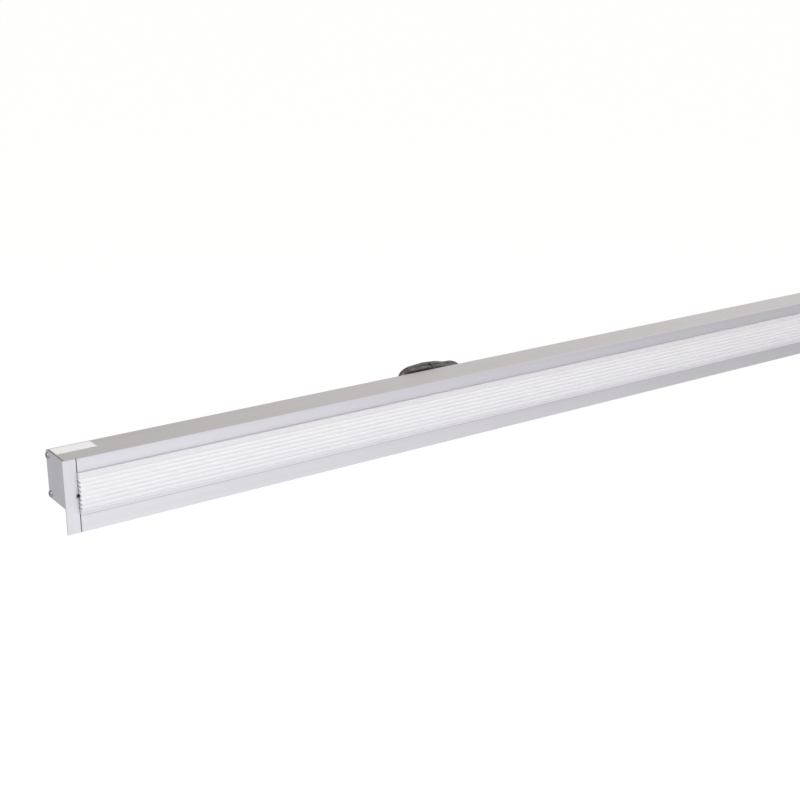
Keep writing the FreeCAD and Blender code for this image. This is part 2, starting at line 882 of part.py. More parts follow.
def supply_cores():
    # Three cores come through the outlet: two go to the terminal block and one to the earth lug.
    spread = core_diameter / 2 + fit
    start_y = inner_y - outlet_flange * flange_share - fit
    deep_y = rib_y - block_height * core_rise_share
    low_y = deep_y * core_turn_share
    x = outlet_place
    cores = []
    for index, z in enumerate(pole_places()):
        offset = spread if index else -spread
        points = [
            Vec(x, start_y, outlet_z + offset),
            Vec(x, low_y, outlet_z + offset),
            Vec(x + block_height, deep_y, (outlet_z + z) / 2 + offset),
            Vec(block_start - core_diameter * 3, entry_y, z),
            Vec(block_start + core_diameter, entry_y, z + fit),
        ]
        cores.append(wire_tube(points, core_diameter, "supply core %d" % (index + 1)))
    lug_y = rib_y - sheet - core_diameter / 2 - fit
    points = [
        Vec(x - spread * 2, start_y, outlet_z),
        Vec(x - spread * 2, low_y, outlet_z),
        Vec(x - block_height * 0.8, deep_y, outlet_z / 2),
        Vec(x - block_height * 1.5, (deep_y + lug_y) / 2, 0),
        Vec(lug_end_x - core_diameter, lug_y, fit),
    ]
    cores.append(wire_tube(points, core_diameter, "supply core 3"))
    return Part.makeCompound(cores)


def ballast_input_leads():
    x0 = block_start + block_length
    x1 = ballast_inner_x()
    end_y = board_top() - block_height * 0.3
    leads = []
    for index, z in enumerate(pole_places()):
        middle = (x0 + x1) / 2
        points = [
            Vec(x0 - lead_diameter * 2, entry_y, z),
            Vec(middle - lead_diameter * 4, entry_y - fit, z),
            Vec(middle + lead_diameter * 3, end_y, z),
            Vec(x1 - fit, end_y + fit, z),
        ]
        leads.append(wire_tube(points, lead_diameter, "ballast input lead %d" % (index + 1)))
    return Part.makeCompound(leads)


def lamp_leads(side):
    # Two leads run from the ballast along the lower wall and into the lampholder's foot.
    x0 = ballast_start + ballast_length - ballast_flange - sheet * 2
    lay_z = -inner_z + lead_diameter / 2 + fit
    out_y = board_top() - block_height * 0.3
    foot_y = tray_y + holder_foot_depth
    foot_x = holder_x + holder_depth / 2
    pitch = lead_diameter * 2.2
    step = lead_diameter * 8
    leads = []
    for index in range(2):
        order = index + (0 if side > 0 else 2)
        lane_z = -pitch * 2.2 + order * pitch * 1.3
        lay_y = out_y + pitch * (1.4 - order)
        shift = (index - 0.5) * pitch
        points = [Vec(x0 + fit, out_y, lane_z), Vec(x0 + step, out_y - fit, lane_z)]
        if side > 0:
            points.append(Vec(x0 + step * 2.6, lay_y, lay_z))
        else:
            points.append(Vec(x0 + step * 2.2 + shift, lay_y - pitch, lane_z - step * 0.55))
            points.append(Vec(x0 + step * 2.2 + shift, lay_y, lay_z + step * 0.55))
            points.append(Vec(x0 + step, lay_y, lay_z))
        points.append(Vec(side * (foot_x - step * 1.6), lay_y - fit, lay_z + fit))
        points.append(Vec(side * (foot_x - step * 0.4), lay_y - step * 0.5, lay_z + step * 0.5))
        points.append(Vec(side * foot_x - shift, foot_y + step * 0.8, lamp_z + fit))
        points.append(Vec(side * foot_x - shift, foot_y + fit, lamp_z))
        leads.append(wire_tube(points, lead_diameter, "lamp lead %d of side %d" % (index + 1, side)))
    return Part.makeCompound(leads)


# Supply cord outside the housing

def cord_strain_relief():
    # A right-angled moulded outlet: a neck through the back wall, an elbow, and a ribbed taper along -X.
    x = outlet_place
    corner = Vec(x, outlet_height, outlet_z)
    tip = corner - X_AXIS * outlet_taper
    flange_y = inner_y - outlet_flange * flange_share
    flange = rod(outlet_flange, Vec(x, flange_y, outlet_z), Vec(x, inner_y, outlet_z))
    neck = rod(outlet_neck, Vec(x, inner_y - fit, outlet_z), Vec(x, fit, outlet_z))
    base = rod(outlet_base, Vec(x, 0, outlet_z), Vec(x, outlet_base_height, outlet_z))
    riser = rod(outlet_radius, Vec(x, outlet_base_height / 2, outlet_z), corner)
    ball = Part.makeSphere(outlet_radius, corner)
    taper = Part.makeCone(outlet_radius, outlet_tip_radius, outlet_taper, corner, X_AXIS * -1)
    outlet = joined(flange, [neck, base, riser, ball, taper])
    groove_width = outlet_taper * groove_share
    for index in range(groove_count):
        at = corner - X_AXIS * (outlet_taper * (first_groove_share + groove_pitch_share * index))
        outer = rod(outlet_radius, at, at - X_AXIS * groove_width)
        groove_end = at - X_AXIS * (groove_width + overrun)
        inner = rod(cord_diameter / 2 + free_fit, at + X_AXIS * overrun, groove_end)
        outlet = outlet.cut(outer.cut(inner))
    return outlet


def hank_point(along, across, out):
    # Place in the hank's own plane, which leans a little: along its runs, across them and off the wall.
    tilt = math.radians(hank_tilt)
    x = hank_place + along * math.cos(tilt) + across * math.sin(tilt)
    z = hank_z - along * math.sin(tilt) + across * math.cos(tilt)
    return Vec(x, outlet_height + out, z)


def hank_heading(along, across, out):
    return hank_point(along, across, out) - hank_point(0, 0, 0)


def hank_size(turn):
    # Fold radius after so many turns: it spirals in at a steady rate, and out again at the same rate.
    return hank_fold - hank_step * (hank_turns_in - abs(turn - hank_turns_in))


def hank_stations():
    # Eight stations a turn: waist, shoulder, fold and shoulder on each side, each with its heading.
    half_run = hank_run / 2
    first = -1
    last = int(round(hank_turns_in * 2 * 8)) + 1
    climb = int(round(hank_turns_in * 8))
    climb_slope = hank_layer / half_run
    stations = []
    for count in range(first, last + 1):
        size = hank_size(count / 8)
        if count < climb:
            out = 0
        elif count == climb:
            out = hank_layer / 2
        else:
            out = hank_layer
        phase = count % 8
        slope = climb_slope if count == climb else 0
        if phase == 0:
            place = (0, -size + hank_waist)
            heading = (-1, 0)
        elif phase in (1, 7):
            place = (-half_run if phase == 1 else half_run, -size)
            heading = (-1, 0)
        elif phase == 2:
            place = (-half_run - size, 0)
            heading = (0, 1)
        elif phase in (3, 5):
            place = (-half_run if phase == 3 else half_run, size)
            heading = (1, 0)
        elif phase == 4:
            place = (0, size - hank_waist)
            heading = (1, 0)
        else:
            place = (half_run + size, 0)
            heading = (0, -1)
        point = hank_point(place[0], place[1], out)
        direction = hank_heading(heading[0], heading[1], slope)
        stations.append((point, direction.normalize()))
    return stations


def biarc(start, start_heading, end, end_heading):
    # Two tangent arcs with equal legs.
    across = end - start
    total = start_heading + end_heading
    spread = 2 * (1 - start_heading.dot(end_heading))
    along = across.dot(total)
    if spread < 1e-9:
        leg = across.dot(across) / (4 * across.dot(end_heading))
    else:
        leg = (math.sqrt(along * along + spread * across.dot(across)) - along) / spread
    first_corner = start + start_heading * leg
    second_corner = end - end_heading * leg
    middle = (first_corner + second_corner) * 0.5
    return [corner_arc(start, first_corner, middle), corner_arc(middle, second_corner, end)]


def hank_path():
    stations = hank_stations()
    first, first_heading = stations[0]
    last, last_heading = stations[-1]
    edges = [Part.LineSegment(first - first_heading * cord_diameter, first).toShape()]
    for (start, start_heading), (end, end_heading) in zip(stations, stations[1:]):
        edges += biarc(start, start_heading, end, end_heading)
    edges.append(Part.LineSegment(last, last + last_heading * cord_diameter).toShape())
    return edges


def self_gap(edges, diameter):
    # Least gap between stretches of one tube that are more than three diameters apart along it.
    points = []
    along = 0
    for edge in edges:
        count = max(2, int(edge.Length / (diameter / 3)))
        span = edge.LastParameter - edge.FirstParameter
        for index in range(count):
            share = index / count
            at = edge.valueAt(edge.FirstParameter + span * share)
            points.append((along + edge.Length * share, at))
        along += edge.Length
    least = along
    for index, (place, point) in enumerate(points):
        for other_place, other in points[index + 1:]:
            if other_place - place > diameter * 3:
                least = min(least, (other - point).Length)
    return least - diameter


def supply_cord_hank():
    edges = hank_path()
    print("hank: least gap to itself %.2f mm" % self_gap(edges, cord_diameter))
    return swept(Part.Wire(edges), cord_diameter, "hank")


def supply_cord():
    # The short free stretch from the outlet to the hank.
    first, heading = hank_stations()[0]
    hank_start = first - heading * cord_diameter
    tip = Vec(outlet_place - outlet_taper, outlet_height, outlet_z)
    end_share = 0.3
    reach = (tip - hank_start).Length * end_share
    points = [tip, tip - X_AXIS * reach, hank_start - heading * reach, hank_start]
    return wire_tube(points, cord_diameter, "supply cord")


def tail_points():
    last, heading = hank_stations()[-1]
    start = last + heading * cord_diameter
    return [
        start,
        start + heading * (cord_diameter * 3.5),
        start + Vec(-cord_diameter * 7.0, cord_diameter * 0.1, -cord_diameter * 0.1),
        start + Vec(-cord_diameter * 10.0, cord_diameter * 0.4, -cord_diameter * 0.6),
        start + Vec(-cord_diameter * 12.5, cord_diameter * 0.6, -cord_diameter * 1.3),
    ]


def supply_cord_tail():
    return wire_tube(tail_points(), cord_diameter, "supply cord tail")


def tail_heading():
    points = tail_points()
    return (points[-1] - points[-2]).normalize()


def core_routes():
    # Three cores fan out from the cut end of the sheath.
    end = tail_points()[-1]
    ahead = tail_heading()
    side = ahead.cross(Y_AXIS).normalize()
    spread = core_diameter * core_spread_share
    routes = []
    for index in range(3):
        angle = math.radians(90 + 120 * index)
        off = side * (math.cos(angle) * spread) + Y_AXIS * (math.sin(angle) * spread)
        start = end + off + ahead * fit
        step = tail_core_length / 3
        routes.append([
            start,
            start + ahead * step,
            start + ahead * (step * 2) + off * near_fan_share,
            start + ahead * (step * 3) + off * end_fan_share,
        ])
    return routes


def cord_cores():
    return Part.makeCompound([wire_tube(route, core_diameter, "bare core") for route in core_routes()])


def cord_ferrules():
    ferrules = []
    for route in core_routes():
        end = route[-1]
        ahead = (route[-1] - route[-2]).normalize()
        collar_length = ferrule_length * collar_share
        collar = rod(collar_radius, end, end + ahead * collar_length)
        barrel = rod(ferrule_diameter / 2, end, end + ahead * ferrule_length)
        ferrules.append(joined(collar, [barrel]))
    return Part.makeCompound(ferrules)


def tie_limits():
    # The waist of the hank, from its lowest to its highest strand, with the tie's clearance.
    low = -(hank_fold - hank_waist) - cord_diameter / 2 - free_fit
    high = hank_size(0.5) - hank_waist + cord_diameter / 2 + free_fit
    near = outlet_height - cord_diameter / 2 - free_fit
    far = outlet_height + hank_layer + cord_diameter / 2 + free_fit
    return low, high, near, far


def cord_tie():
    low, high, near, far = tie_limits()
    half = tie_width / 2
    corner = cord_diameter / 2
    out = tie_thickness
    band = block(-half, half, near - out, far + out, low - out, high + out)
    edges = [edge for edge in band.Edges if edge.BoundBox.XLength > half]
    band = band.makeFillet(corner + tie_thickness, edges)
    hole = block(-tie_width, tie_width, near, far, low, high)
    edges = [edge for edge in hole.Edges if edge.BoundBox.XLength > half]
    band = band.cut(hole.makeFillet(corner, edges))
    middle = (low + high) / 2
    head_y = far + tie_thickness / 2
    half_head = tie_width * tie_head_share / 2
    head = block(-half_head, half_head, head_y, head_y + tie_width, middle, middle + half_head * 2)
    tail_z = middle + half_head * 2 / 3
    tail_y = head_y + tie_width * tie_tail_share
    tail = block(-half / 2, half / 2, head_y, tail_y, tail_z, tail_z + tie_thickness)
    tie = joined(band, [head, tail])
    tie.rotate(Vec(0, 0, 0), Y_AXIS, hank_tilt)
    tie.translate(Vec(hank_place, 0, hank_z))
    return tie


def cord_tie_base():
    low, high, near, far = tie_limits()
    half = tie_base_size / 2
    top = near
    middle = (low + high) / 2
    base = block(-half, half, 0, top - free_fit, middle - half, middle + half)
    edges = [edge for edge in base.Edges if edge.BoundBox.YLength > top / 2]
    base = base.makeFillet(half / 4, edges)
    half_tunnel = tie_width / 2 + free_fit
    low_y = near - tie_thickness - free_fit
    high_y = near + free_fit
    tunnel = block(-half_tunnel, half_tunnel, low_y, high_y, middle - tie_base_size, middle + tie_base_size)
    base = base.cut(tunnel)
    base.rotate(Vec(0, 0, 0), Y_AXIS, hank_tilt)
    base.translate(Vec(hank_place, 0, hank_z))
    return base


def rating_label():
    x0 = -profile_x + label_from_end
    y1 = -label_from_back
    return block(x0, x0 + label_length, y1 - label_width, y1, half_body, half_body + label_thickness)


def nodes():
    found = {}
    found["housing_profile"] = eased_face(with_housing_holes(housing_profile()))
    for name, side in sides.items():
        found["end_cap_" + name] = end_cap(side)
        found["end_cap_screws_" + name] = end_cap_screws(side)
        found["lampholder_" + name] = lampholder(side)
        found["lampholder_rotor_" + name] = lampholder_rotor(side)
        found["lampholder_contacts_" + name] = lampholder_contacts(side)
        found["lamp_cap_" + name] = lamp_cap(side)
        found["lamp_pins_" + name] = lamp_pins(side)
        found["lamp_electrode_" + name] = lamp_electrode(side)
        found["lamp_leads_" + name] = lamp_leads(side)
    found["diffuser"] = diffuser()
    found["lamp_tube"] = lamp_tube()
    found["reflector"] = reflector()
    found["reflector_screws"] = reflector_screws()
    found["ballast_case"] = ballast_case()
    found["ballast_cover"] = ballast_cover()
    found["ballast_board"] = ballast_board()
    found["ballast_components"] = ballast_components()
    found["ballast_terminals"] = ballast_terminals()
    found["ballast_screws"] = ballast_screws()
    found["ballast_input_leads"] = ballast_input_leads()
    found["terminal_block"] = terminal_block()
    found["terminal_screws"] = terminal_screws()
    found["earth_lug"] = earth_lug()
    found["earth_screw"] = earth_screw()
    found["supply_cores"] = supply_cores()
    found["cord_strain_relief"] = cord_strain_relief()
    found["supply_cord"] = supply_cord()
    found["supply_cord_hank"] = supply_cord_hank()
    found["supply_cord_tail"] = supply_cord_tail()
    found["cord_cores"] = cord_cores()
    found["cord_ferrules"] = cord_ferrules()
    found["cord_tie"] = cord_tie()
    found["cord_tie_base"] = cord_tie_base()
    found["rating_label"] = rating_label()
    return found


os.makedirs("parts", exist_ok=True)
for node_name, shape in nodes().items():
    shape.exportStep("parts/%s.step" % node_name)
    counted = (node_name, len(shape.Solids), shape.Volume, shape.isValid())
    print("%s: %d solid(s), %.0f mm3, valid %s" % counted)
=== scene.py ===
import json
import math

import bpy
from mathutils import Matrix, Vector


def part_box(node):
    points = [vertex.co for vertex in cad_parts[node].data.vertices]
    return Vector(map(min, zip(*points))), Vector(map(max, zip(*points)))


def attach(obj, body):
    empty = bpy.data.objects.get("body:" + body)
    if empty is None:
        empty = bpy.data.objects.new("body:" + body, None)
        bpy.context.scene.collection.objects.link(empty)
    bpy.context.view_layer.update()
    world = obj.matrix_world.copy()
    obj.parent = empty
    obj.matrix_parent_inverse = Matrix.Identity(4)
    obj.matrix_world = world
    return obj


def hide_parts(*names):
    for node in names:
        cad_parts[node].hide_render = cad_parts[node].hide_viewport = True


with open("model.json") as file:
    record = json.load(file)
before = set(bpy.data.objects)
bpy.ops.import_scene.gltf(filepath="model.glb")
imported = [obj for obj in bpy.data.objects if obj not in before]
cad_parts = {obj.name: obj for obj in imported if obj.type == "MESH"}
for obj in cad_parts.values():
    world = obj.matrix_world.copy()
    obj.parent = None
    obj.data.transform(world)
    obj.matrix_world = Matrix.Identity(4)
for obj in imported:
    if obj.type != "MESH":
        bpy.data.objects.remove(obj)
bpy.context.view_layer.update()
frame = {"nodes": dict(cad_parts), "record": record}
nodes = frame["nodes"]
print("frame loaded, CAD nodes:", len(nodes))


# the photograph's viewing angle, fitted to the corners of the left end and to the long edges
cameraValues = {
    "place": (-1.0428, -1.2246, 0.4797),
    "turnDegrees": (72.22, 0.0, -35.84),
    "lens": 58.1,
    "sensor": 36.0,
    "clip": (0.01, 1000.0),
}


def addCamera(values):
    data = bpy.data.cameras.new("viewCamera")
    data.lens = values["lens"]
    data.sensor_width = values["sensor"]
    data.clip_start, data.clip_end = values["clip"]
    camera = bpy.data.objects.new("viewCamera", data)
    camera.location = values["place"]
    camera.rotation_euler = [math.radians(angle) for angle in values["turnDegrees"]]
    bpy.context.scene.collection.objects.link(camera)
    bpy.context.scene.camera = camera


addCamera(cameraValues)
print("camera placed")


# supply cord: outlet, hank and tail on one line
cordValues = {
    "diameter": 0.006,
    "exit": (-0.0204, 0.009, -0.0105),
    "middle": (-0.1034, 0.009, 0.0092),  # middle of the hank
    "tiltDegrees": 4.5,
    "halfRun": 0.0272,
    "foldRadius": 0.0224,
    "radiusStep": 0.0068,  # each turn lies this much further in, then out again
    "turns": 4,
    "turnSteps": 8,  # two along each run and two round each fold
    "foldDegrees": (22.5, 67.5, 112.5, 157.5),
    # along a run in shares of half of it, and in shares of the waist how far it is drawn in there
    "runShares": ((-0.8, 0.0), (-0.4, 0.5), (0.0, 1.25), (0.4, 0.5), (0.8, 0.0)),
    "waist": 0.0004,
    "layer": 0.0066,  # the second half of the turns lies on the first
    # how much lower the upper strands lie than even turns would, along the hank
    "droop": (
        (-0.0500, -0.0038),
        (-0.0365, 0.0028),
        (-0.0218, 0.0013),
        (-0.0109, -0.0006),
        (0.0, -0.0005),
        (0.0109, -0.0002),
        (0.0218, 0.0027),
        (0.0365, 0.0018),
        (0.0500, -0.0050),
    ),
    # and how much more the turns next to the wall droop
    "frontDroop": (
        (-0.0500, 0.0),
        (-0.0365, 0.0025),
        (-0.0218, 0.0030),
        (0.0, 0.0030),
        (0.0109, 0.0015),
        (0.0218, 0.0),
        (0.0500, 0.0),
    ),
    "droopFrom": 0.006,  # strands this far above the middle or more droop in full
    "endShare": 0.3,  # how far the bends at both ends of the way to the hank reach
    "tailStraight": 3.5,  # the tail in diameters: straight on, then along, out and down
    "tail": ((7.0, 0.1, 0.1), (10.0, 0.4, 0.6), (12.5, 0.6, 1.3)),
    "smoothness": 6,
    "length": 1.02,
}


def droopAt(table, along):
    before = table[0]
    for after in table[1:]:
        if along <= after[0]:
            share = max(0.0, (along - before[0]) / (after[0] - before[0]))
            return before[1] + (after[1] - before[1]) * share
        before = after
    return 0.0


def hankPoint(values, along, across, out):
    # place in the hank's own leaning plane
    tilt = math.radians(values["tiltDegrees"])
    x, y, z = values["middle"]
    front = 1 - out / values["layer"]
    droop = droopAt(values["droop"], along) + droopAt(values["frontDroop"], along) * front
    across -= droop * min(1.0, max(0.0, across) / values["droopFrom"])
    return Vector((
        x + along * math.cos(tilt) + across * math.sin(tilt),
        y + out,
        z - along * math.sin(tilt) + across * math.cos(tilt),
    ))


def hankRadius(values, step):
    turnsIn = values["turns"] / 2
    turnsLeft = turnsIn - abs(step / values["turnSteps"] - turnsIn)
    return values["foldRadius"] - values["radiusStep"] * turnsLeft


def hankLayer(values, step):
    climb = values["turns"] * values["turnSteps"] / 2
    if math.isclose(step, climb):
        return values["layer"] / 2
    return 0.0 if step < climb else values["layer"]


def foldPoints(values, step, side):
    # points round one fold, on the circle that its line touches
    points = []
    edge = math.radians(values["foldDegrees"][0])
    for degrees in values["foldDegrees"]:
        here = step + degrees / 90
        radius = hankRadius(values, here) / math.cos(edge)
        along = side * (values["halfRun"] + radius * math.sin(math.radians(degrees)))
        across = side * radius * math.cos(math.radians(degrees))
        points.append(hankPoint(values, along, across, hankLayer(values, here)))
    return points


def runPoints(values, step, side):
    # points along one run, drawn in at the waist
    points = []
    for share, draw in values["runShares"]:
        here = step + share
        along = side * values["halfRun"] * share
        across = side * (hankRadius(values, here) - values["waist"] * draw)
        points.append(hankPoint(values, along, across, hankLayer(values, here)))
    return points


def cordRoute(values):
    diameter = values["diameter"]
    half = values["turnSteps"] // 2
    last = values["turns"] * values["turnSteps"]
    tip = Vector(values["exit"])
    heading = (hankPoint(values, -1, 0, 0) - hankPoint(values, 0, 0, 0)).normalized()
    first = hankPoint(values, values["halfRun"], -hankRadius(values, -1), 0.0) - heading * diameter
    reach = (tip - first).length * values["endShare"]
    route = [tip, tip - Vector((reach, 0, 0)), first - heading * reach, first]
    for step in range(0, last, values["turnSteps"]):
        route += runPoints(values, step, -1)
        route += foldPoints(values, step + 1, -1)
        route += runPoints(values, step + half, 1)
        route += foldPoints(values, step + half + 1, 1)
    route += runPoints(values, last, -1)
    leave = hankPoint(values, -values["halfRun"], -hankRadius(values, last + 1), values["layer"])
    tail = leave + heading * diameter
    route += [tail, tail + heading * diameter * values["tailStraight"]]
    for along, out, down in values["tail"]:
        route.append(tail + Vector((-along * diameter, out * diameter, -down * diameter)))
    return route


def addCurve(name, routes, diameter, smoothness):
    data = bpy.data.curves.new(name, "CURVE")
    data.dimensions = "3D"
    data.bevel_depth = diameter / 2
    data.bevel_resolution = smoothness
    data.use_fill_caps = True
    for route in routes:
        spline = data.splines.new("NURBS")
        spline.points.add(len(route) - 1)
        for point, place in zip(spline.points, route):
            point.co = (place.x, place.y, place.z, 1.0)
        spline.order_u = 3
        spline.use_endpoint_u = True
        spline.resolution_u = 8
    curve = bpy.data.objects.new(name, data)
    bpy.context.scene.collection.objects.link(curve)
    return curve


cordPoints = cordRoute(cordValues)
cord = addCurve("supplyCord", [cordPoints], cordValues["diameter"], cordValues["smoothness"])
print("cord laid, points:", len(cordPoints))


# bare cores at the cord's end
coreValues = {
    "count": 3,
    "diameter": 0.0022,
    "length": 0.024,
    "gap": 0.0002,
    "spreadShare": 0.6,
    "fanShares": (0.0, 0.0, 1.4, 3.2),  # how far the cores spread, step by step
    "smoothness": 4,
}


def coreRoutes(values, ending, ahead):
    back = Vector((0, 1, 0))
    side = ahead.cross(back).normalized()
    spread = values["diameter"] * values["spreadShare"]
    step = values["length"] / (len(values["fanShares"]) - 1)
    routes = []
    for index in range(values["count"]):
        angle = math.radians(90 + 360 / values["count"] * index)
        off = side * (math.cos(angle) * spread) + back * (math.sin(angle) * spread)
        route = [ending + off - ahead * values["diameter"]]
        for place, fan in enumerate(values["fanShares"]):
            route.append(ending + off * (1 + fan) + ahead * (values["gap"] + step * place))
        routes.append(route)
    return routes


cordAhead = (cordPoints[-1] - cordPoints[-2]).normalized()
coreLines = coreRoutes(coreValues, cordPoints[-1], cordAhead)
cores = addCurve("cordCores", coreLines, coreValues["diameter"], coreValues["smoothness"])
print("cores laid")


def clearSelection():
    if bpy.context.object and bpy.context.object.mode != "OBJECT":
        bpy.ops.object.mode_set(mode="OBJECT")
    bpy.ops.object.select_all(action="DESELECT")


def addBlock(name, size, place):
    clearSelection()
    bpy.ops.mesh.primitive_cube_add(size=1, location=place)
    block = bpy.context.object
    block.name = name
    block.scale = size
    bpy.ops.object.transform_apply(location=True, rotation=True, scale=True)
    return block


def pick(piece, kind, wanted):
    # selects the faces or edges that pass the test, and leaves the piece in edit mode
    bpy.ops.object.mode_set(mode="EDIT")
    bpy.ops.mesh.select_mode(type=kind)
    bpy.ops.mesh.select_all(action="DESELECT")
    bpy.ops.object.mode_set(mode="OBJECT")
    for item in piece.data.polygons if kind == "FACE" else piece.data.edges:
        item.select = wanted(item)
    bpy.ops.object.mode_set(mode="EDIT")


def pickFaces(piece, axis, bothWays=False):
    # the faces that look along +X, +Y or +Z for an axis of 0, 1 or 2, or both ways along it
    straight = 0.9

    def wanted(face):
        facing = face.normal[axis]
        return (abs(facing) if bothWays else facing) > straight

    pick(piece, "FACE", wanted)


def pickLongEdges(piece, axis, least):
    def wanted(edge):
        first, second = (piece.data.vertices[index].co[axis] for index in edge.vertices)
        return abs(first - second) > least

    pick(piece, "EDGE", wanted)


def applyModifier(piece, kind, settings):
    modifier = piece.modifiers.new(kind.lower(), kind)
    for key, value in settings.items():
        setattr(modifier, key, value)
    bpy.context.view_layer.objects.active = piece
    bpy.ops.object.modifier_apply(modifier=modifier.name)


def joinPieces(name, pieces):
    clearSelection()
    for piece in pieces:
        piece.select_set(True)
    bpy.context.view_layer.objects.active = pieces[0]
    bpy.ops.object.join()
    whole = bpy.context.object
    whole.name = name
    return whole


# cable tie round the hank's waist
tieValues = {
    "width": 0.0048,
    "thickness": 0.0012,
    "low": -0.0253,  # across the strands
    "high": 0.0213,
    "frontDrop": 0.0028,  # the band's wall side follows the lower turns there
    "near": 0.0057,  # off the wall
    "far": 0.0189,
    "cornerRadius": 0.0042,
    "cornerSteps": 6,
    "edge": 0.00025,
    "head": (0.0066, 0.0046, 0.0066),
    "slot": 0.0016,
    "tail": (0.0044, 0.0085, 0.0011),
    "tailTaper": 0.8,
    "toothPitch": 0.0011,
    "toothShare": 0.6,  # of the tail's width
    "toothTaper": 0.3,
    "firstTooth": 2,
    "smoothDegrees": 35,
}


def addTieBand(values):
    depth = values["far"] - values["near"] + values["thickness"] * 2
    height = values["high"] - values["low"] + values["thickness"] * 2
    middle = (0, (values["far"] + values["near"]) / 2, (values["high"] + values["low"]) / 2)
    band = addBlock("tieBand", (values["width"], depth, height), middle)
    for corner in band.data.vertices:
        if corner.co.y < middle[1] and corner.co.z > middle[2]:
            corner.co.z -= values["frontDrop"]
    pickFaces(band, 0, bothWays=True)
    bpy.ops.mesh.delete(type="FACE")
    pickLongEdges(band, 0, values["width"] / 2)
    bpy.ops.mesh.bevel(offset=values["cornerRadius"], segments=values["cornerSteps"])
    bpy.ops.object.mode_set(mode="OBJECT")
    applyModifier(band, "SOLIDIFY", {"thickness": values["thickness"], "offset": -1})
    applyModifier(band, "BEVEL", {"width": values["edge"], "segments": 2})
    return band


def addTieHead(values):
    width, depth, height = values["head"]
    middle = (values["high"] + values["low"]) / 2
    front = values["far"] + values["thickness"] / 2
    head = addBlock("tieHead", (width, depth, height), (0, front + depth / 2, middle))
    # the slot that the strap comes out of
    pickFaces(head, 1)
    bpy.ops.mesh.inset(thickness=values["slot"] / 2, depth=0)
    bpy.ops.mesh.inset(thickness=values["slot"] / 3, depth=-values["slot"] / 2)
    bpy.ops.object.mode_set(mode="OBJECT")
    bevel = {"width": values["edge"] * 2, "segments": 3, "limit_method": "ANGLE"}
    applyModifier(head, "BEVEL", bevel)
    return head


def addTieTail(values):
    width, depth, height = values["tail"]
    middle = (values["high"] + values["low"]) / 2
    front = values["far"] + values["thickness"]
    tail = addBlock("tieTail", (width, depth, height), (0, front + depth / 2, middle))
    # the cut end narrows, and the teeth run across the strap
    pickFaces(tail, 1)
    bpy.ops.transform.resize(value=(values["tailTaper"], 1, 1))
    bpy.ops.object.mode_set(mode="OBJECT")
    pieces = [tail]
    size = (width * values["toothShare"], values["toothPitch"] / 2, height / 3)
    for step in range(values["firstTooth"], int(depth / values["toothPitch"]) - 1):
        place = (0, front + values["toothPitch"] * (step + 0.5), middle + height / 2)
        tooth = addBlock("tieTooth", size, place)
        pickFaces(tooth, 2)
        bpy.ops.transform.resize(value=(1, values["toothTaper"], 1))
        bpy.ops.object.mode_set(mode="OBJECT")
        pieces.append(tooth)
    tail = joinPieces("tieTail", pieces)
    bevel = {"width": values["edge"] / 3, "segments": 1, "limit_method": "ANGLE"}
    applyModifier(tail, "BEVEL", bevel)
    return tail


def settle(piece, turn, place, smoothDegrees):
    # turns a piece modelled at the origin and puts its place in its mesh
    piece.data.transform(Matrix.Translation(place) @ Matrix.Rotation(turn, 4, "Y"))
    clearSelection()
    piece.select_set(True)
    bpy.context.view_layer.objects.active = piece
    bpy.ops.object.shade_smooth_by_angle(angle=math.radians(smoothDegrees))


def addTie(values, cordFacts):
    tie = joinPieces("cableTie", [addTieBand(values), addTieHead(values), addTieTail(values)])
    x, y, z = cordFacts["middle"]
    turn = math.radians(cordFacts["tiltDegrees"])
    settle(tie, turn, Vector((x, 0, z)), values["smoothDegrees"])
    return tie


tie = addTie(tieValues, cordValues)
print("cable tie modelled")


class Wire:
    # a shader value that can be written in sums
    def __init__(self, bench, socket):
        self.bench = bench
        self.socket = socket

    def __add__(self, other):
        return self.bench.maths("ADD", self, other)

    def __radd__(self, other):
        return self.bench.maths("ADD", other, self)

    def __sub__(self, other):
        return self.bench.maths("SUBTRACT", self, other)

    def __rsub__(self, other):
        return self.bench.maths("SUBTRACT", other, self)

    def __mul__(self, other):
        return self.bench.maths("MULTIPLY", self, other)

    def __truediv__(self, other):
        return self.bench.maths("DIVIDE", self, other)

    def __gt__(self, other):
        return self.bench.maths("GREATER_THAN", self, other)

    def __lt__(self, other):
        return self.bench.maths("LESS_THAN", self, other)


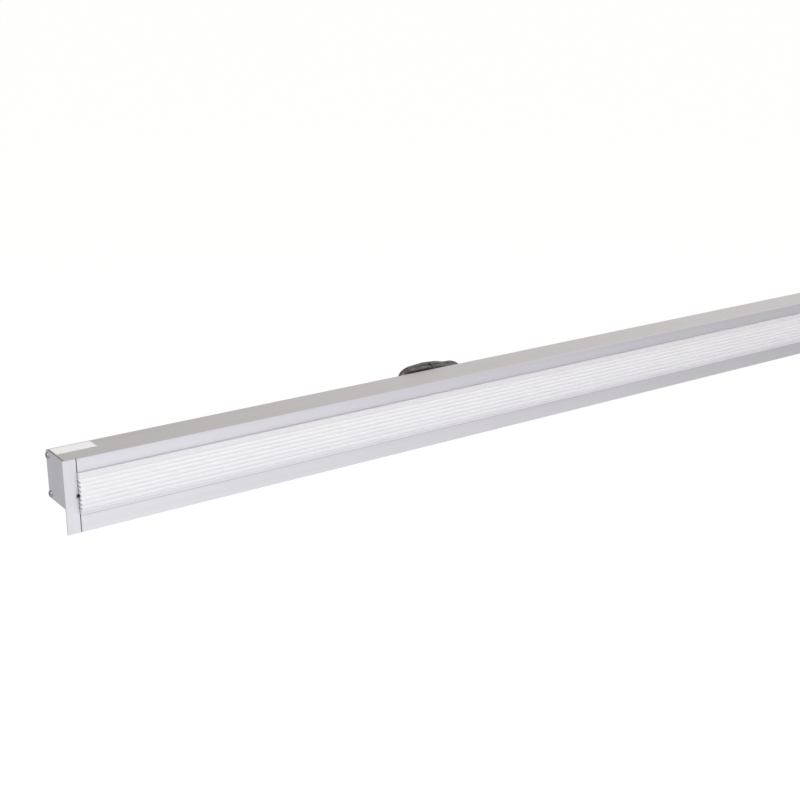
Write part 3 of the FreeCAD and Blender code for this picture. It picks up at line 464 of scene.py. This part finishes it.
class Bench:
    # where one material's nodes are made
    def __init__(self, tree):
        self.tree = tree
        self.tree.nodes.clear()

    def node(self, kind, settings, inputs, output=0):
        # the one way to make a node: type, settings, then values or wires for its sockets
        made = self.tree.nodes.new("ShaderNode" + kind)
        for key, value in settings.items():
            if key == "stops":
                self.fillRamp(made.color_ramp, value)
            else:
                setattr(made, key, value)
        for key, value in inputs.items():
            if isinstance(value, Wire):
                self.tree.links.new(value.socket, made.inputs[key])
            elif isinstance(value, tuple) and made.inputs[key].type == "RGBA":
                made.inputs[key].default_value = (*value, 1)
            else:
                made.inputs[key].default_value = value
        return Wire(self, made.outputs[output]) if made.outputs else None

    def fillRamp(self, ramp, stops):
        ramp.interpolation = "CONSTANT"
        while len(ramp.elements) < len(stops):
            ramp.elements.new(0.5)
        for element, (place, colour) in zip(ramp.elements, stops):
            element.position = place
            element.color = (*colour, 1)

    def maths(self, operation, first, second):
        return self.node("Math", {"operation": operation}, {0: first, 1: second})

    def least(self, first, second):
        return self.maths("MINIMUM", first, second)

    def most(self, first, second):
        return self.maths("MAXIMUM", first, second)

    def size(self, value):
        return self.maths("ABSOLUTE", value, 0.0)

    def fraction(self, value):
        return self.maths("FRACT", value, 0.0)

    def limits(self, value, low, high):
        # 0 below low, 1 above high, smooth between
        return self.node("MapRange", {"interpolation_type": "SMOOTHSTEP"},
                         {"Value": value, "From Min": low, "From Max": high})

    def blend(self, first, second, factor):
        return self.node("Mix", {"data_type": "RGBA"}, {0: factor, 6: first, 7: second}, 2)

    def steps(self, value, stops):
        # one colour after another, with sharp borders
        return self.node("ValToRGB", {"stops": stops}, {"Fac": value})

    def place(self):
        return self.node("TexCoord", {}, {}, "Object")

    def axes(self, source=None):
        split = self.node("SeparateXYZ", {}, {"Vector": source or self.place()})
        return [Wire(self, split.socket.node.outputs[index]) for index in range(3)]

    def grain(self, scale, detail, rough=0.5):
        mapped = self.node("Mapping", {}, {"Vector": self.place(), "Scale": scale})
        inputs = {"Vector": mapped, "Scale": 1.0, "Detail": detail, "Roughness": rough}
        return self.node("TexNoise", {}, inputs)

    def bump(self, height, distance, strength):
        return self.node("Bump", {}, {"Height": height, "Distance": distance, "Strength": strength})

    def surface(self, values):
        shader = self.node("BsdfPrincipled", {}, values)
        self.node("OutputMaterial", {}, {"Surface": shader})


def newMaterial(name, make, values):
    material = bpy.data.materials.new(name)
    material.use_nodes = True
    make(Bench(material.node_tree), values)
    return material


# Finishes. A grain is its scale along each axis, its detail and its roughness, a bump its depth and
# strength. Shares weigh one thing against another, and a gloss is how far a grain changes the roughness.

profileValues = {
    "pale": (0.760, 0.750, 0.803),
    "deep": (0.705, 0.695, 0.745),
    "tones": (0.3, 0.7),
    "roughness": 0.36,
    "bands": ((1.3, 150, 150), 4.0, 0.6),
    "lines": ((5.0, 1900, 1900), 3.0, 0.7),
    "clouds": ((9, 30, 30), 2.0),
    "shares": (0.45, 0.35, 0.2),  # of bands, lines and clouds
    "lineGloss": 0.1,
    "bandGloss": 0.05,
    "lineBump": (0.00003, 0.5),
    "sawn": (0.6051, 0.6055),  # half the length where the painted seam shade begins and is complete
    "sawnTone": (0.16, 0.16, 0.17),
}


def makeProfile(bench, values):
    # satin anodised extrusion: long die lines, broad pale bands and a faint cloud
    bandShare, lineShare, cloudShare = values["shares"]
    bands = bench.grain(*values["bands"])
    lines = bench.grain(*values["lines"])
    cloud = bench.grain(*values["clouds"])
    mixed = bands * bandShare + lines * lineShare + cloud * cloudShare
    metal = bench.blend(values["deep"], values["pale"], bench.limits(mixed, *values["tones"]))
    # painted shade: the profile's end is darkened where it meets the end cap, standing in for the shadow
    # in the seam
    x, y, z = bench.axes()
    sawn = bench.limits(bench.size(x), *values["sawn"])
    bench.surface({
        "Base Color": bench.blend(metal, values["sawnTone"], sawn),
        "Metallic": 1.0,
        "Roughness": values["roughness"] + lines * values["lineGloss"] - bands * values["bandGloss"],
        "Normal": bench.bump(lines, *values["lineBump"]),
    })


endCapValues = {
    "pale": (0.760, 0.750, 0.803),
    "deep": (0.705, 0.695, 0.745),
    "tones": (0.32, 0.68),
    "roughness": 0.40,
    "brush": ((1500, 1500, 9), 3.0, 0.65),
    "clouds": ((60, 60, 40), 3.0),
    "shares": (0.6, 0.4, 0.06),  # of brushing, clouds and the worn rim
    "rim": (0.0365, 0.039),
    "brushGloss": 0.08,
    "brushBump": (0.00003, 0.5),
    # painted shade inside the prying notch
    "notchTone": (0.23, 0.23, 0.24),
    "notchHalf": 0.00196,
    "notchBack": -0.0755,
    "notchEnd": (0.6083, 0.6087),
}


def makeEndCap(bench, values):
    # cut plate, brushed up and down, a little paler along its rim
    brushShare, cloudShare, rimShare = values["shares"]
    brush = bench.grain(*values["brush"])
    cloud = bench.grain(*values["clouds"])
    x, y, z = bench.axes()
    rim = bench.limits(bench.size(z), *values["rim"])
    tone = brush * brushShare + cloud * cloudShare + rim * rimShare
    metal = bench.blend(values["deep"], values["pale"], bench.limits(tone, *values["tones"]))
    # painted shade: the prying notch at the seam is darkened, standing in for the shade inside the
    # recess
    notchShade = (bench.size(z) < values["notchHalf"]) * (y < values["notchBack"])
    notchShade = notchShade * (1 - bench.limits(bench.size(x), *values["notchEnd"]))
    bench.surface({
        "Base Color": bench.blend(metal, values["notchTone"], notchShade),
        "Metallic": 1.0,
        "Roughness": values["roughness"] + brush * values["brushGloss"],
        "Normal": bench.bump(brush, *values["brushBump"]),
    })


diffuserValues = {
    "rib": (0.928, 0.930, 1.000),
    # painted shade: the lower ribs and margins are darker, and the margins darker than the ribs
    "ribUnder": (0.858, 0.858, 0.938),
    "margin": (0.825, 0.820, 0.870),
    "marginUnder": (0.722, 0.717, 0.770),
    # painted light on the diffuser's top side
    "topSide": (0.885, 0.880, 0.925),
    # painted shadow along the front corners
    "corner": (0.34, 0.34, 0.36),
    # painted shade at the cut ends of the ribs
    "dash": (0.30, 0.30, 0.31),
    "ribHigh": 0.0186,
    "ribLow": -0.0143,
    "ribBright": 0.0045,  # height from which the ribs take the full painted light
    "softness": 0.0012,
    "ribPitch": 0.0046929,
    "dashReach": (0.6046, 0.6052),
    "dashFrom": 0.42,  # share of a rib's pitch
    "dashShare": 0.8,
    "topReach": (0.0229, 0.0234),
    "front": (-0.0816, -0.0810),
    "lowCorner": (-0.0191, -0.0186),
    "highCorner": (0.0226, 0.0231),
    "highCornerShare": 0.36,
    "cornerShare": 0.9,
    "roughness": 0.34,
    "flow": ((2.0, 60, 260), 3.0),
    "flowTone": (0.90, 0.90, 0.96),
    "flowShare": 0.25,
    "peel": ((500, 500, 500), 2.0),
    "peelGloss": 0.08,
    "peelBump": (0.00002, 0.4),
    "glow": {"Subsurface Weight": 0.5, "Subsurface Radius": (1.0, 1.0, 1.0), "Subsurface Scale": 0.004},
}


def makeDiffuser(bench, values):
    # opal plastic: bright ribs, margins painted darker as shade, painted light brighter towards the top,
    # faint flow lines along its length
    x, y, z = bench.axes()
    softness = values["softness"]
    high = bench.limits(z, values["ribHigh"] - softness, values["ribHigh"] + softness)
    low = bench.limits(z, values["ribLow"] - softness, values["ribLow"] + softness)
    margin = high + (1 - low)
    flow = bench.grain(*values["flow"])
    peel = bench.grain(*values["peel"])
    # painted light: ribs and margins are painted brighter towards the top and in shade towards the
    # bottom
    height = bench.limits(z, values["ribLow"], values["ribBright"])
    litAndShadedRibs = bench.blend(values["ribUnder"], values["rib"], height)
    shadedMarginTones = bench.blend(values["marginUnder"], values["margin"], height)
    milk = bench.blend(litAndShadedRibs, shadedMarginTones, margin)
    # painted shade: short dark strokes at the cut ends of the ribs
    cell = bench.fraction((values["ribHigh"] - z) / values["ribPitch"])
    ribEndShadeMask = bench.limits(bench.size(x), *values["dashReach"]) * (cell > values["dashFrom"])
    milk = bench.blend(milk, values["dash"], ribEndShadeMask * (1 - margin) * values["dashShare"])
    # painted light and shade: its top side is painted bright, the lower front corner gets a thin painted
    # shadow line and the upper one a faint one
    milk = bench.blend(milk, values["topSide"], bench.limits(z, *values["topReach"]))
    front = 1 - bench.limits(y, *values["front"])
    lowCorner = 1 - bench.limits(z, *values["lowCorner"])
    highCorner = bench.limits(z, *values["highCorner"]) * values["highCornerShare"]
    corner = (lowCorner + highCorner) * front
    milk = bench.blend(milk, values["corner"], corner * values["cornerShare"])
    bench.surface({
        "Base Color": bench.blend(milk, values["flowTone"], flow * values["flowShare"]),
        "Roughness": values["roughness"] + peel * values["peelGloss"],
        "Normal": bench.bump(peel, *values["peelBump"]),
        **values["glow"],
    })


lampValues = {
    "phosphor": (0.93, 0.93, 0.915),
    "ends": (0.70, 0.69, 0.68),
    "endReach": (0.546, 0.571),
    "wash": ((14, 90, 90), 3.0),
    "washReach": 0.006,
    "specks": ((900, 900, 900), 2.0),
    "speckTone": (0.88, 0.88, 0.87),
    "speckShare": 0.3,
    "roughness": 0.30,
    "speckGloss": 0.1,
    "glass": {"Coat Weight": 1.0, "Coat Roughness": 0.04},
}


def makeLamp(bench, values):
    # phosphor coat behind clear glass, greyer near the cathodes
    x, y, z = bench.axes()
    wash = bench.grain(*values["wash"])
    speck = bench.grain(*values["specks"])
    ends = bench.limits(bench.size(x) + wash * values["washReach"], *values["endReach"])
    coat = bench.blend(values["phosphor"], values["ends"], ends)
    bench.surface({
        "Base Color": bench.blend(coat, values["speckTone"], speck * values["speckShare"]),
        "Roughness": values["roughness"] + speck * values["speckGloss"],
        **values["glass"],
    })


reflectorValues = {
    "paint": (0.90, 0.90, 0.89),
    "dust": (0.82, 0.81, 0.79),
    "roughness": 0.22,
    "peel": ((420, 420, 420), 2.0),
    "dusting": ((16, 50, 50), 5.0, 0.6),
    "dustReach": (0.5, 0.85),
    "dustShare": 0.6,
    "dustGloss": 0.15,
    "peelGloss": 0.05,
    "peelBump": (0.00003, 0.6),
}


def makeReflector(bench, values):
    # gloss white powder coat with orange peel and a little settled dust
    peel = bench.grain(*values["peel"])
    dust = bench.limits(bench.grain(*values["dusting"]), *values["dustReach"])
    bench.surface({
        "Base Color": bench.blend(values["paint"], values["dust"], dust * values["dustShare"]),
        "Roughness": values["roughness"] + dust * values["dustGloss"] + peel * values["peelGloss"],
        "Normal": bench.bump(peel, *values["peelBump"]),
    })


screwValues = {
    "plate": (0.50, 0.50, 0.51),
    "shade": (0.24, 0.24, 0.25),
    "tint": (0.52, 0.49, 0.43),
    "shadeReach": (0.3, 0.6),
    "tintReach": (0.5, 0.8),
    "roughness": 0.26,
    "turning": ((2600, 2600, 2600), 2.0, 0.6),
    "stains": ((260, 260, 260), 4.0, 0.6),
    "turningGloss": 0.12,
    "stainGloss": 0.08,
    "turningBump": (0.00003, 0.5),
}


def makePlated(bench, values):
    # bright plated metal with turning marks and uneven tint
    turning = bench.grain(*values["turning"])
    stain = bench.grain(*values["stains"])
    base = bench.blend(values["shade"], values["plate"], bench.limits(turning, *values["shadeReach"]))
    gloss = values["roughness"] + turning * values["turningGloss"]
    bench.surface({
        "Base Color": bench.blend(base, values["tint"], bench.limits(stain, *values["tintReach"])),
        "Metallic": 1.0,
        "Roughness": gloss + stain * values["stainGloss"],
        "Normal": bench.bump(turning, *values["turningBump"]),
    })


brassValues = dict(
    screwValues, plate=(0.76, 0.58, 0.30), shade=(0.58, 0.42, 0.20), tint=(0.62, 0.44, 0.24))
tinValues = dict(
    screwValues, plate=(0.74, 0.73, 0.70), shade=(0.58, 0.57, 0.55), tint=(0.70, 0.60, 0.50))
lampCapValues = dict(
    screwValues, plate=(0.78, 0.78, 0.78), shade=(0.66, 0.66, 0.67), tint=(0.72, 0.71, 0.68),
    turning=((900, 90, 90), 2.0, 0.6), roughness=0.20)
wireValues = dict(
    screwValues, plate=(0.56, 0.55, 0.53), shade=(0.42, 0.41, 0.40), tint=(0.50, 0.44, 0.38))

galvanisedValues = {
    "pale": (0.64, 0.66, 0.68),
    "deep": (0.47, 0.49, 0.51),
    "spangleScale": 170.0,
    "frost": ((700, 700, 700), 2.0),
    "shares": (0.7, 0.3),  # of spangle and frost
    "roughness": 0.34,
    "spangleGloss": 0.14,
    "frostBump": (0.00002, 0.4),
}


def makeGalvanised(bench, values):
    # zinc spangle: crystal patches that differ in tone and gloss
    spangleShare, frostShare = values["shares"]
    patch = bench.node("TexVoronoi", {}, {"Vector": bench.place(), "Scale": values["spangleScale"]}, 1)
    tone = bench.node("SeparateColor", {}, {"Color": patch})
    frost = bench.grain(*values["frost"])
    mixed = tone * spangleShare + frost * frostShare
    bench.surface({
        "Base Color": bench.blend(values["deep"], values["pale"], mixed),
        "Metallic": 1.0,
        "Roughness": values["roughness"] + tone * values["spangleGloss"],
        "Normal": bench.bump(frost, *values["frostBump"]),
    })


boardValues = {
    "lacquer": (0.06, 0.24, 0.12),
    "track": (0.11, 0.36, 0.19),
    "edge": (0.42, 0.40, 0.24),
    "edgeFrom": 0.0137,
    "pitch": 0.0042,
    "crossPitch": 0.0168,
    "trackShare": 0.32,  # of the pitch
    "jog": ((110, 1, 1), 0.0),
    "jogReach": 0.010,
    "drift": ((1, 1, 240), 0.0),
    "roughness": 0.36,
    "trackGloss": 0.08,
    "trackBump": (0.00004, 0.6),
    "coat": {"Coat Weight": 0.4, "Coat Roughness": 0.15},
}


def makeBoard(bench, values):
    # green lacquer over copper tracks that run along the board and jog across it
    x, y, z = bench.axes()
    jog = bench.grain(*values["jog"]) * values["jogReach"]
    cell = bench.fraction((z + jog) / values["pitch"])
    across = bench.fraction(x / values["crossPitch"] + bench.grain(*values["drift"]))
    track = bench.most(cell < values["trackShare"], across < values["trackShare"] / 3)
    rim = bench.size(z) > values["edgeFrom"]
    lacquer = bench.blend(values["lacquer"], values["track"], track)
    bench.surface({
        "Base Color": bench.blend(lacquer, values["edge"], rim),
        "Roughness": values["roughness"] - track * values["trackGloss"],
        "Normal": bench.bump(track, *values["trackBump"]),
        **values["coat"],
    })


partsValues = {
    "colours": (
        (0.0, (0.10, 0.10, 0.11)),
        (0.22, (0.42, 0.30, 0.10)),
        (0.44, (0.05, 0.05, 0.055)),
        (0.66, (0.10, 0.16, 0.36)),
        (0.86, (0.30, 0.10, 0.08)),
    ),
    "reach": (0.1536, 0.3836),
    "flecks": ((700, 700, 700), 2.0),
    "fleckTone": (0.5, 0.5, 0.5),
    "fleckShare": 0.12,
    "roughness": 0.32,
    "fleckGloss": 0.15,
    "fleckBump": (0.00003, 0.4),
}


def makeParts(bench, values):
    # coil, capacitors and heat sink, each in its own colour along the board
    x, y, z = bench.axes()
    low, high = values["reach"]
    colour = bench.steps((x - low) / (high - low), values["colours"])
    fleck = bench.grain(*values["flecks"])
    bench.surface({
        "Base Color": bench.blend(colour, values["fleckTone"], fleck * values["fleckShare"]),
        "Roughness": values["roughness"] + fleck * values["fleckGloss"],
        "Normal": bench.bump(fleck, *values["fleckBump"]),
    })


plasticValues = {
    "body": (0.90, 0.89, 0.85),
    "fleck": (0.80, 0.79, 0.75),
    "tones": (0.38, 0.72),
    "roughness": 0.34,
    "fleckScale": (1100, 1100, 1100),
    "fleckDetail": (2.0, 0.6),
    "flowScale": (60, 60, 60),
    "flowDetail": (4.0, 0.6),
    "shares": (0.5, 0.5),  # of flecks and flow marks
    "fleckGloss": 0.12,
    "flowGloss": 0.05,
    "bump": (0.00002, 0.6),
    "sheen": 0.0,
    "sheenRoughness": 0.2,
}


def makePlastic(bench, values):
    # moulded plastic: spark texture, flow marks and uneven gloss
    fleckShare, flowShare = values["shares"]
    fleck = bench.grain(values["fleckScale"], *values["fleckDetail"])
    flow = bench.grain(values["flowScale"], *values["flowDetail"])
    tone = bench.limits(fleck * fleckShare + flow * flowShare, *values["tones"])
    bench.surface({
        "Base Color": bench.blend(values["body"], values["fleck"], tone),
        "Roughness": values["roughness"] + fleck * values["fleckGloss"] - flow * values["flowGloss"],
        "Coat Weight": values["sheen"],
        "Coat Roughness": values["sheenRoughness"],
        "Normal": bench.bump(fleck, *values["bump"]),
    })


terminalValues = dict(plasticValues, body=(0.55, 0.56, 0.58), fleck=(0.46, 0.47, 0.49))
holderValues = dict(plasticValues, body=(0.92, 0.92, 0.90), fleck=(0.86, 0.86, 0.84), roughness=0.30)
leadValues = dict(
    plasticValues, body=(0.86, 0.86, 0.84), fleck=(0.78, 0.78, 0.75), fleckScale=(120, 900, 900))
# the cord's pale flecks are partly mottling of the jacket and partly painted highlights on the strands
cordPlasticAndHighlightValues = dict(
    plasticValues, body=(0.031, 0.0275, 0.0265), fleck=(0.220, 0.196, 0.190), roughness=0.28,
    bump=(0.00004, 0.6), sheen=0.4, flowScale=(150, 150, 150))
nylonValues = dict(
    plasticValues, body=(0.045, 0.041, 0.040), fleck=(0.130, 0.120, 0.118), roughness=0.42,
    fleckScale=(1400, 1400, 1400))
brownValues = dict(plasticValues, body=(0.25, 0.10, 0.045), fleck=(0.19, 0.075, 0.035), roughness=0.30)
blueValues = dict(plasticValues, body=(0.045, 0.16, 0.50), fleck=(0.035, 0.12, 0.40), roughness=0.30)

earthValues = {
    "green": (0.05, 0.32, 0.08),
    "yellow": (0.80, 0.66, 0.06),
    "stripeWay": (0.2, 0.9, 0.4),
    "stripeFrom": 0.1,
    "flecks": ((900, 900, 900), 2.0),
    "fleckTone": (0.2, 0.2, 0.1),
    "fleckShare": 0.15,
    "roughness": 0.28,
    "fleckGloss": 0.1,
}


def makeEarth(bench, values):
    # green core with a yellow stripe along it
    normal = bench.node("NewGeometry", {}, {}, "Normal")
    ways = {0: normal, 1: values["stripeWay"]}
    facing = bench.node("VectorMath", {"operation": "DOT_PRODUCT"}, ways, "Value")
    colour = bench.blend(values["green"], values["yellow"], facing > values["stripeFrom"])
    fleck = bench.grain(*values["flecks"])
    bench.surface({
        "Base Color": bench.blend(colour, values["fleckTone"], fleck * values["fleckShare"]),
        "Roughness": values["roughness"] + fleck * values["fleckGloss"],
    })


innerCoreValues = {
    "colours": (
        (0.0, (0.25, 0.10, 0.045)),
        (0.45, (0.045, 0.16, 0.50)),
        (0.72, (0.40, 0.48, 0.07)),
    ),
    "reach": (-0.0128, 0.0057),
    "flecks": ((900, 900, 900), 2.0),
    "fleckTone": (0.3, 0.3, 0.3),
    "fleckShare": 0.12,
    "roughness": 0.30,
    "fleckGloss": 0.1,
}


def makeInnerCores(bench, values):
    # the three cores inside the housing, told apart by their height
    x, y, z = bench.axes()
    low, high = values["reach"]
    colour = bench.steps((z - low) / (high - low), values["colours"])
    fleck = bench.grain(*values["flecks"])
    bench.surface({
        "Base Color": bench.blend(colour, values["fleckTone"], fleck * values["fleckShare"]),
        "Roughness": values["roughness"] + fleck * values["fleckGloss"],
    })


labelValues = {
    "paper": (0.96, 0.96, 0.97),
    "line": (0.55, 0.55, 0.57),
    "box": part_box("rating_label"),
    "inset": 0.0010,
    "rulesInset": 0.0022,
    "lineWidth": 0.00025,
    "rulePitch": 0.0030,
    "ruleLength": 0.030,
    "borderShare": 0.8,
    "ruleShare": 0.5,
    "fibres": ((900, 900, 900), 3.0, 0.6),
    "fibreTone": (0.82, 0.82, 0.83),
    "fibreReach": (0.45, 0.8),
    "fibreShare": 0.5,
    "roughness": 0.42,
    "fibreGloss": 0.1,
    "fibreBump": (0.00001, 0.4),
}


def makeLabel(bench, values):
    # a blank label: one thin border and faint ruled lines, with nothing written on it
    x, y, z = bench.axes()
    low, high = values["box"]
    fromLeft = x - low[0]
    fromFront = y - low[1]
    edge = bench.least(bench.least(fromLeft, high[0] - x), bench.least(fromFront, high[1] - y))
    border = (edge > values["inset"]) * (edge < values["inset"] + values["lineWidth"])
    inside = edge > values["rulesInset"]
    cell = bench.fraction(fromFront / values["rulePitch"])
    lines = cell < values["lineWidth"] / values["rulePitch"]
    rules = lines * inside * (fromLeft < values["ruleLength"])
    fibre = bench.grain(*values["fibres"])
    fibres = bench.limits(fibre, *values["fibreReach"]) * values["fibreShare"]
    paper = bench.blend(values["paper"], values["fibreTone"], fibres)
    marks = bench.most(border * values["borderShare"], rules * values["ruleShare"])
    bench.surface({
        "Base Color": bench.blend(paper, values["line"], marks),
        "Roughness": values["roughness"] + fibre * values["fibreGloss"],
        "Normal": bench.bump(fibre, *values["fibreBump"]),
    })


finishes = {
    "anodised_profile": (makeProfile, profileValues),
    "opal_diffuser": (makeDiffuser, diffuserValues),
    "phosphor_glass": (makeLamp, lampValues),
    "white_reflector": (makeReflector, reflectorValues),
    "zinc_screw": (makePlated, screwValues),
    "galvanised_sheet": (makeGalvanised, galvanisedValues),
    "circuit_board": (makeBoard, boardValues),
    "board_parts": (makeParts, partsValues),
    "terminal_grey": (makePlastic, terminalValues),
    "lead_insulation": (makePlastic, leadValues),
    "block_white": (makePlastic, plasticValues),
    "brass_fitting": (makePlated, brassValues),
    "core_insulation": (makeInnerCores, innerCoreValues),
    "black_cord": (makePlastic, cordPlasticAndHighlightValues),
    "tinned_copper": (makePlated, tinValues),
    "black_nylon": (makePlastic, nylonValues),
    "blank_label": (makeLabel, labelValues),
    "end_cap_metal": (makeEndCap, endCapValues),
    "holder_white": (makePlastic, holderValues),
    "lamp_cap_metal": (makePlated, lampCapValues),
    "electrode_wire": (makePlated, wireValues),
}
coreFinishes = {
    "coreBrown": (makePlastic, brownValues),
    "coreBlue": (makePlastic, blueValues),
    "coreEarth": (makeEarth, earthValues),
}

materials = {slot: newMaterial(slot, make, values) for slot, (make, values) in finishes.items()}
for part in frame["record"]["subparts"]:
    for slot in nodes[part["node"]].material_slots:
        slot.material = materials[part["material_slot"]]
print("finishes made:", len(materials))

# the new pieces take their finish and their body
cord.data.materials.append(materials["black_cord"])
tie.data.materials.clear()
tie.data.materials.append(materials["black_nylon"])
for name, (make, values) in coreFinishes.items():
    cores.data.materials.append(newMaterial(name, make, values))
for index, spline in enumerate(cores.data.splines):
    spline.material_index = index
for piece in (cord, cores, tie):
    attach(piece, "housing")
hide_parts("supply_cord", "supply_cord_hank", "supply_cord_tail")
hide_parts("cord_cores")
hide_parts("cord_tie")
print("cord, cores and tie dressed")


floorValues = {
    "size": 400.0,
    "height": -0.34,
    "paint": (0.90, 0.90, 0.90),
    "clouds": ((0.8, 0.8, 0.8), 2.0),
    "cloudTone": (0.88, 0.88, 0.88),
    "whiteShare": 0.86,
    "white": 1.08,
    "gloss": 1.18,  # how bright the metal sees it near the fitting's left end
    "glossFar": 0.55,  # and far out to the front right
    "glossBack": 0.58,  # and behind
    "right": (-0.6, 1.9),
    "back": (-0.5, 0.3),
}


def whiteForView(bench):
    # 1 for what the camera, gloss and glass see directly, 0 for light on surfaces
    path = bench.node("LightPath", {}, {})
    outputs = path.socket.node.outputs
    seen = Wire(bench, outputs["Is Camera Ray"]) + Wire(bench, outputs["Is Glossy Ray"])
    seen = seen + Wire(bench, outputs["Is Transmission Ray"])
    return bench.least(seen, 1.0)


def makeFloor(bench, values):
    cloud = bench.grain(*values["clouds"])
    colour = bench.blend(values["paint"], values["cloudTone"], cloud)
    paint = bench.node("BsdfDiffuse", {}, {"Color": colour})
    x, y, z = bench.axes()
    path = bench.node("LightPath", {}, {}, "Is Glossy Ray")
    right = bench.limits(x, *values["right"])
    back = bench.limits(y, *values["back"])
    gloss = values["gloss"] - right * (values["gloss"] - values["glossFar"])
    gloss = gloss - (1 - right) * back * (values["gloss"] - values["glossBack"])
    strength = path * gloss + (1 - path) * values["white"]
    white = bench.node("Emission", {}, {"Color": (1, 1, 1), "Strength": strength})
    share = whiteForView(bench) * values["whiteShare"]
    shader = bench.node("MixShader", {}, {0: share, 1: paint, 2: white})
    bench.node("OutputMaterial", {}, {"Surface": shader})


def addFloor(values):
    clearSelection()
    bpy.ops.mesh.primitive_plane_add(size=values["size"], location=(0, 0, values["height"]))
    floor = bpy.context.object
    floor.name = "floor"
    floor.data.materials.append(newMaterial("floorPaint", makeFloor, values))


addFloor(floorValues)


lampsValues = {
    "key": {
        "place": (-1.20, -1.50, 1.70),
        "aim": (-0.25, -0.05, 0.0),
        "size": (1.3, 1.0),
        "power": 29.4,
        "colour": (0.95, 0.96, 1.0),
    },
    "fill": {
        "place": (1.9, -1.2, 1.6),
        "aim": (0.1, 0.0, 0.0),
        "size": (1.8, 1.4),
        "power": 5.0,
        "colour": (0.93, 0.95, 1.0),
    },
}


def addLamp(name, values):
    data = bpy.data.lights.new(name, "AREA")
    data.shape = "RECTANGLE"
    data.size, data.size_y = values["size"]
    data.energy = values["power"]
    data.color = values["colour"]
    lamp = bpy.data.objects.new(name, data)
    lamp.location = values["place"]
    aim = Vector(values["aim"]) - Vector(values["place"])
    lamp.rotation_euler = aim.to_track_quat("-Z", "Y").to_euler()
    lamp.visible_camera = False
    bpy.context.scene.collection.objects.link(lamp)


for name, values in lampsValues.items():
    addLamp(name, values)


worldValues = {
    "tint": (1.0, 0.956, 0.89),
    "middle": 0.487,
    "slope": 0.40,  # brighter towards +X
    "least": 0.42,
    "horizon": 1.0,
    "haze": (0.03, 0.21),  # height of the view direction over which the horizon fades
}


def makeWorld(bench, values):
    x, y, z = bench.axes(bench.node("TexCoord", {}, {}, "Generated"))
    sky = bench.most(x * values["slope"] + values["middle"], values["least"])
    haze = 1 - bench.limits(z, *values["haze"])
    strength = sky + haze * (values["horizon"] - sky)
    colour = bench.blend(values["tint"], (1, 1, 1), haze)
    ambient = bench.node("Background", {}, {"Color": colour, "Strength": strength})
    bench.node("OutputWorld", {}, {"Surface": ambient})


world = bpy.data.worlds.new("studioWorld")
bpy.context.scene.world = world
world.use_nodes = True
makeWorld(Bench(world.node_tree), worldValues)
bpy.context.scene.view_settings.view_transform = "Standard"
print("stage and lamps placed")
